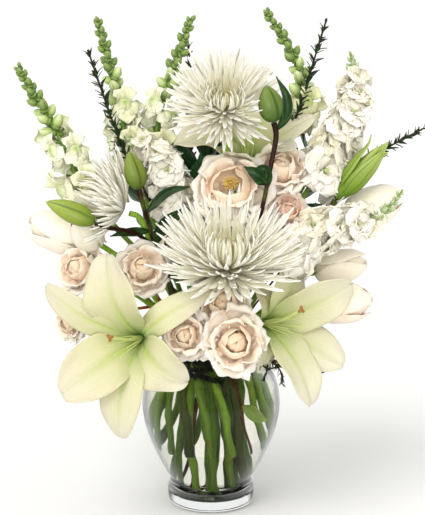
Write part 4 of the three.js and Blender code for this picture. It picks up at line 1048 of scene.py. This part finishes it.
# Snapdragon corolla: soft white tissue with a green base and green veins.
snap_petal = petal_finish("snapdragon_corolla", "#AAC26E", "#EAECD2", "#F8F6E8", "#D4DEAC", "#E8EACC",
                          vein="#B4C983", veins=7, roughness=0.55, glow=0.5, base_reach=0.5,
                          vein_strength=0.25)
# Calyces and tight buds in mid green, and swelling buds that pale as the petals show through.
snap_bud = bud_finish("snapdragon_bud_green", "#507230", "#748E44", "#9AAC60", "#42642A")
snap_swelling = bud_finish("snapdragon_bud_swelling", "#7A9C44", "#B4C87C", "#DCE4B4", "#84A34C")
# Spike stems: an even, slightly greyish green with little bark.
spike_skin = stem_finish("spike_stem_green", "#8CAE48", "#5C8434", "#7C9A3C")


def dress_spike(name, strands, parts, seed):
    """A spike's stem and its florets and buds, all for its one node."""
    place_strands(name + "_stem", strands, spike_skin, 10, name)
    for part, places, small, skin in parts:
        stand_pieces(f"{name}_{part}", places, small, skin, seed, name)


for side, spike in SNAPDRAGONS.items():
    random = np.random.default_rng(40 + len(side))
    strands, main = lay_stem(spike, 2.7, 0.0, taper=0.6)
    path, length = flowering_part(main, spike["lowest"])
    count = int(length / SNAPDRAGON_SPACING)
    early, later, calyces, tight, swelling = (Places() for _ in range(5))
    for i in range(count):
        share = 1 - (1 - i / (count - 1)) ** 1.3
        index = int(share * (STEM_POINTS - 4))
        bearing = GOLDEN_ANGLE * i + random.uniform(-14, 14)
        if share < spike["open"] and i % 2:
            continue
        if share < spike["open"]:
            size = SNAPDRAGON_SIZE * (1 - 0.34 * share / spike["open"])
            faces, along = side_way(path, index, bearing, 72 - 12 * share)
            size *= random.uniform(0.85, 1.12)
            blooms = later if i // 2 % 2 else early
            blooms.add(path[index] + faces * 3, faces, along, size, random.uniform(0, 1))
            calyces.add(path[index], faces, along, CALYX_SIZE)
        else:
            young = (share - spike["open"]) / (1 - spike["open"])
            faces, along = side_way(path, index, bearing, 58 - 30 * young)
            size = (17 - 10 * young) * random.uniform(0.9, 1.1)
            buds = swelling if young < SWELLING_SHARE else tight
            buds.add(path[index] + faces * 2.2, faces, along, (size * 0.98, size * 0.98, size), young)
            calyces.add(path[index], faces, along, (size * 0.95, size * 0.95, size * 0.42))
    dress_spike(f"snapdragon_{side}", strands, [
        ("florets", early, florets[0], snap_petal), ("later_florets", later, florets[1], snap_petal),
        ("calyces", calyces, bud_small, snap_bud), ("tight_buds", tight, bud_small, snap_bud),
        ("swelling_buds", swelling, bud_small, snap_swelling),
    ], len(side))

# ---------------------------------------------------------------- stocks
# Double white stocks: a dense column of ruffled florets, greenish in their hearts, with grey-green
# woolly buds at the tip.

STOCKS = {
    "left": dict(place=("outer", 234), lowest=262, open=0.92,
                 through=[(-22, -10, 230), (-31, -5, 291), (-45, 0, 345), (-60, 0, 362), (-83, 0, 372)]),
    "right": dict(place=("outer", 18), lowest=325, open=0.84,
                  through=[(55, 10, 250), (95, -2, 320), (125, 0, 370), (142, 8, 414), (137, 10, 456)]),
    "front": dict(place=("outer", 342), lowest=258, open=0.7,
                  through=[(35, -12, 200), (60, -30, 245), (86, -44, 277), (139, -40, 294), (170, -32, 305),
                           (186, -30, 324)]),
}
STOCK_SPACING = 2.4
STOCK_SIZE = 25


def stock_floret(name, phase):
    """A double floret of one millimetre: six broad crumpled petals round three smaller ones."""
    petals = Sheets()
    for i in range(6):
        rib = [(0.02, 0.0), (0.2, 0.34), (0.58, 0.46 + 0.1 * (i % 2)), (1.0, 0.3 + 0.16 * (i % 2))]
        middle = petal(rib, 0.56, (8, 9), ruffle_shape, wave=0.28, waves=1.4, sector=60,
                       phase=phase + i * 1.7, least=0.01)
        petals.add(turned(middle, 60 * i), 0.03, 0.1)
    for i in range(3):
        rib = [(0.02, 0.05), (0.16, 0.36), (0.36, 0.52), (0.6, 0.62)]
        middle = petal(rib, 0.34, (7, 7), ruffle_shape, cup=0.2, wave=0.4, waves=1.5, sector=42,
                       phase=phase + i * 2.3 + 1, least=0.01)
        petals.add(turned(middle, 120 * i + 40), 0.03, 0.3)
    return petals.piece(name, tinted=False)


double_florets = [stock_floret("stock_floret_a", 0.0), stock_floret("stock_floret_b", 2.9)]
# Stock petals: crumpled tissue, matt, a warm white that turns green at the heart.
stock_petal = petal_finish("stock_petal_white", "#8FB048", "#FFF9E8", "#FFFCF0", "#F8F6DC", "#FFF9E6",
                           vein="#F0F0DE", veins=7, roughness=0.6, glow=0.65, deep=0.002, base_reach=0.42,
                           midrib_reach=0.4)
# Buds under a grey down that takes the shine off them, and fresher green hearts.
woolly_bud = bud_finish("stock_bud_woolly", "#7C9658", "#9DB07C", "#CBD4AC", "#76905A", shine=0.7)
stock_heart = bud_finish("stock_heart_green", "#8CAA54", "#A8C070", "#D2DCA4", "#86A050", shine=0.7)
for side, spike in STOCKS.items():
    random = np.random.default_rng(60 + len(side))
    strands, main = lay_stem(spike, 3, 0.0, taper=0.7)
    path, length = flowering_part(main, spike["lowest"])
    count = int(length / STOCK_SPACING)
    early, later, hearts, buds = (Places() for _ in range(4))
    for i in range(count):
        share = i / (count - 1)
        index = int(share * (STEM_POINTS - 5))
        bearing = GOLDEN_ANGLE * i + random.uniform(-18, 18)
        if share < spike["open"] and i % 2:
            continue
        if share < spike["open"]:
            faces, along = side_way(path, index, bearing, random.uniform(56, 88) - 26 * share)
            size = STOCK_SIZE * (1 - 0.5 * share) * random.uniform(0.8, 1.12)
            foot = path[index] + faces * size * 0.22
            blooms = later if i // 2 % 2 else early
            blooms.add(foot, faces, random.normal(size=3), size, random.uniform(0, 1))
            middle = path[index] + faces * size * 0.47
            hearts.add(middle, faces, along, (size * 0.28, size * 0.28, size * 0.32))
        else:
            faces, along = side_way(path, index, bearing, random.uniform(22, 50))
            size = 13 - 8 * (share - spike["open"]) / (1 - spike["open"])
            buds.add(path[index], faces, along, (size * 0.7, size * 0.7, size))
    dress_spike(f"stock_{side}", strands, [
        ("florets", early, double_florets[0], stock_petal),
        ("later_florets", later, double_florets[1], stock_petal),
        ("hearts", hearts, bud_small, stock_heart), ("buds", buds, bud_small, woolly_bud),
    ], len(side))

# ---------------------------------------------------------------- cedar sprigs
# Slim dark twigs, red-brown in the water, set all round with short flat dark green needles. One low
# spray and many short twigs crowd the vase's neck.

SPRIGS = {
    "left": dict(place=("inner", 135), lowest=350,
                 through=[(-35, 5, 255), (-88, 5, 365), (-105, 8, 410), (-121, 10, 458)]),
    "back": dict(place=("outer", 90), lowest=340, through=[(-15, 50, 270), (-22, 50, 366), (-23, 60, 462)]),
    "tall": dict(place=("outer", 54), lowest=370, through=[(50, 25, 280), (87, 20, 398), (114, 30, 485)]),
    "right": dict(place=("glass", 24), lowest=340,
                  through=[(80, 12, 250), (135, 5, 330), (167, 0, 358), (210, 0, 382)]),
    "low": dict(place=("glass", 288), lowest=145, through=[(31, -47, 183), (62, -68, 163), (106, -64, 150)]),
}
NEEDLES_PER_MM = 1.2
GAP_IN_NEEDLES = -0.3
TWIGS_IN_NECK = 30
SHORT_TWIGS = [
    [(36, -50, 180), (40, -66, 166), (38, -74, 152)], [(44, -56, 174), (54, -72, 160), (50, -78, 146)],
    [(40, -62, 170), (54, -76, 158), (72, -78, 164)], [(36, -52, 178), (50, -68, 174), (64, -74, 178)],
    [(54, -66, 165), (66, -76, 156), (68, -80, 144)], [(31, -47, 183), (32, -64, 168), (28, -72, 154)],
    [(62, -68, 163), (80, -74, 152), (84, -76, 142)],
]

# Conifer needles: dark green with a thin wax, and twigs in dry bark that is redder under water.
needle_green = leaf_finish("conifer_needle_dark", "#17270F", "#2A4320", "#3C5A2E", veins=1, roughness=0.45)
twig_brown = stem_finish("conifer_twig_red_brown", "#3E2E20", "#2A2018", "#7E4224", shine=0.6)
blade = Sheets()
needle_rib = [(0, 0), (0.06, 0.35), (0.06, 0.7), (0, 1)]
blade.add(petal(needle_rib, 0.15, (6, 3), leaf_shape, cup=0.2, least=0.02), 0.07)
flat_needle = blade.piece("flat_needle")
for side, sprig in SPRIGS.items():
    random = np.random.default_rng(80 + len(side))
    strands, main = lay_stem(sprig, 1.1, 1.1, browner=-0.75)
    path, length = flowering_part(main, sprig["lowest"])
    needles = Places()
    count = int(length * NEEDLES_PER_MM)
    for i in range(count):
        if math.sin(0.5 * i) < GAP_IN_NEEDLES:
            continue
        share = i / count
        index = int(share * (STEM_POINTS - 1))
        bearing = GOLDEN_ANGLE * i + random.uniform(-30, 30)
        faces, along = side_way(path, index, bearing, random.uniform(26, 64))
        needles.add(path[index], faces, along, random.uniform(8, 12.5) * (1 - 0.35 * share**2))
    if side == "low":
        in_neck = []
        for i in range(TWIGS_IN_NECK):
            bearing, height = random.uniform(212, 300), random.uniform(140, 172)
            lift, room = random.uniform(-9, 9), np.interp(height, [148, 158, 172], [42, 37, 38])
            in_neck.append([polar(room, bearing + 15 * k, height + lift * k / 2) for k in range(3)])
        for place, line in enumerate(in_neck + SHORT_TWIGS):
            twig = smooth_path(line, 60)
            strands.add(twig, 0.7, 0.6)
            for i in range(0, len(twig), 1 if place < TWIGS_IN_NECK else 2):
                faces, along = side_way(twig, i, GOLDEN_ANGLE * i, random.uniform(30, 60))
                needles.add(twig[i], faces, along, random.uniform(4, 7))
    name = f"sprig_{side}"
    place_strands(name + "_twig", strands, twig_brown, 8, name)
    stand_pieces(name + "_needles", needles, flat_needle, needle_green, 3, name, unevenness=0.2)

# ---------------------------------------------------------------- foliage
# Four branches of broad waxy dark leaves behind and among the flowers, each leaf arched on a short
# stalk, with a wavy edge.

FOLIAGE = {
    "left": dict(place=("glass", 96), lowest=215, through=[(-20, 50, 220), (-60, 66, 290), (-75, 72, 350)]),
    "back": dict(place=("glass", 72), lowest=210, through=[(15, 56, 230), (22, 80, 300), (15, 85, 365)]),
    "right": dict(place=("glass", 48), lowest=210, through=[(40, 45, 220), (80, 62, 280), (105, 65, 345)]),
    "middle": dict(place=("inner", 225), lowest=190, through=[(-8, 5, 230), (-12, 22, 290), (-8, 18, 350)],
                   leaves=24),
}
LEAVES_ON_BRANCH = 14

# Broad leaves: thick and dark, with a waxy shine and paler veins.
broad_leaf_wax = leaf_finish("broad_leaf_waxy", "#1A3D20", "#2A5430", "#557F44", veins=9)
leaf = Sheets()
leaf_rib = [(0, 0), (0.02, 0.12), (0.06, 0.45), (0.16, 0.8), (0.3, 1)]
leaf.add(petal(leaf_rib, 0.21, (18, 9), leaf_shape, cup=-0.3, wave=0.16, waves=2.2, groove=0.12,
               least=0.008), 0.014)
one_leaf = leaf.piece("broad_leaf")
for side, branch in FOLIAGE.items():
    random = np.random.default_rng(100 + len(side))
    strands, main = lay_stem(branch, 2.3, 0.4)
    path, length = flowering_part(main, branch["lowest"])
    leaves = Places()
    count = branch.get("leaves", LEAVES_ON_BRANCH)
    for i in range(count):
        index = int(i / (count - 1) * (STEM_POINTS - 4))
        faces, along = side_way(path, index, GOLDEN_ANGLE * i, random.uniform(36, 58))
        leaves.add(path[index], faces, along + random.normal(0, 0.3, 3), random.uniform(44, 56))
    name = f"foliage_{side}"
    place_strands(name + "_branch", strands, rose_cane, 10, name)
    stand_pieces(name + "_leaves", leaves, one_leaf, broad_leaf_wax, 3, name)

for small in (young_ray, grown_ray, *florets, bud_small, *double_florets, flat_needle, one_leaf):
    bpy.data.objects.remove(small)

# ---------------------------------------------------------------- studio
# A plain white table in a white room, with two broad soft lamps, one from the upper left in front and
# one from the front. Light that has met the glass or the water sees neither the lamps nor the table,
# and a room that is dark on its near side, so that both look clear.

ROOM_LIGHT = 0.76
LAMP_WIDTH = 40

world = bpy.data.worlds.new("studio")
bpy.context.scene.world = world
world.use_nodes = True
tree = world.node_tree
ray = node(tree, "LightPath").outputs
lit = node(tree, "MapRange", {"Value": ray["Is Diffuse Ray"], "To Min": 1.0, "To Max": ROOM_LIGHT})
way = node(tree, "NewGeometry").outputs["Position"]
side_of = node(tree, "SeparateXYZ", {"Vector": way}).outputs["Y"]
mirrored = node(tree, "MapRange", {"Value": side_of, "From Max": 0.5, "To Min": 0.1, "To Max": 0.95})
seen = node(tree, "Math", {0: ray["Glossy Depth"], 1: 0.5}, operation="GREATER_THAN")
strength = node(tree, "MapRange", {"Value": seen, "To Min": lit, "To Max": mirrored})
feed(tree.nodes["Background"], {"Strength": strength, "Color": (1, 1, 1, 1)})
bpy.context.scene.view_settings.view_transform = "Standard"

TABLE_RADIUS = 60000

# The table: matt white paint that takes only a faint soft shadow.
table_white, tree, shader = finish("table_white", {"Roughness": 0.9, "Specular IOR Level": 0.0})
where = node(tree, "TexCoord").outputs["Object"]
grain = node(tree, "TexNoise", {"Vector": where, "Scale": 3.0})
feed(shader, {"Base Color": node(tree, "Mix", {0: grain, 6: "#F9F9F7", 7: "#FCFCFA"}, data_type="RGBA")})
points, faces = lathe([(0, -4), (TABLE_RADIUS, -4), (TABLE_RADIUS, -0.1), (TABLE_RADIUS - 100, -0.1),
                       (0, -0.1)], 64)
table = mesh_object("table", points, faces, material=table_white)
table.visible_glossy = False

for name, energy, shines in (("key", 1.3, (0.55, 0.75, -1)), ("front", 1.8, (-0.1, 1, -0.12))):
    lamp = bpy.data.lights.new(name, "SUN")
    lamp.energy = energy
    lamp.angle = math.radians(LAMP_WIDTH)
    lamp.color = (1, 0.98, 0.95)
    lamp.use_nodes = True
    mirrors = node(lamp.node_tree, "LightPath").outputs["Glossy Depth"]
    unmirrored = node(lamp.node_tree, "Math", {0: mirrors, 1: 0.5}, operation="LESS_THAN")
    feed(lamp.node_tree.nodes["Emission"], {"Strength": unmirrored})
    new_object(name, lamp).rotation_euler = Vector(shines).to_track_quat("-Z", "Y").to_euler()

# ---------------------------------------------------------------- camera
# It stands in front of the vase and looks down a little, which puts the vase's rim and foot where the
# photograph has them.

FILM_MM = 36
FOCAL_PIXELS = 1318
PICTURE_PIXELS = 515
LOOKING_DOWN = 9.49
CAMERA_PLACE = (0.0015, -1.3, 0.47)

lens = bpy.data.cameras.new("camera")
lens.sensor_width = FILM_MM
lens.lens = FOCAL_PIXELS * FILM_MM / PICTURE_PIXELS
camera = new_object("camera", lens)
camera.location = CAMERA_PLACE
camera.rotation_euler = (math.radians(90 - LOOKING_DOWN), 0, 0)
bpy.context.scene.camera = camera
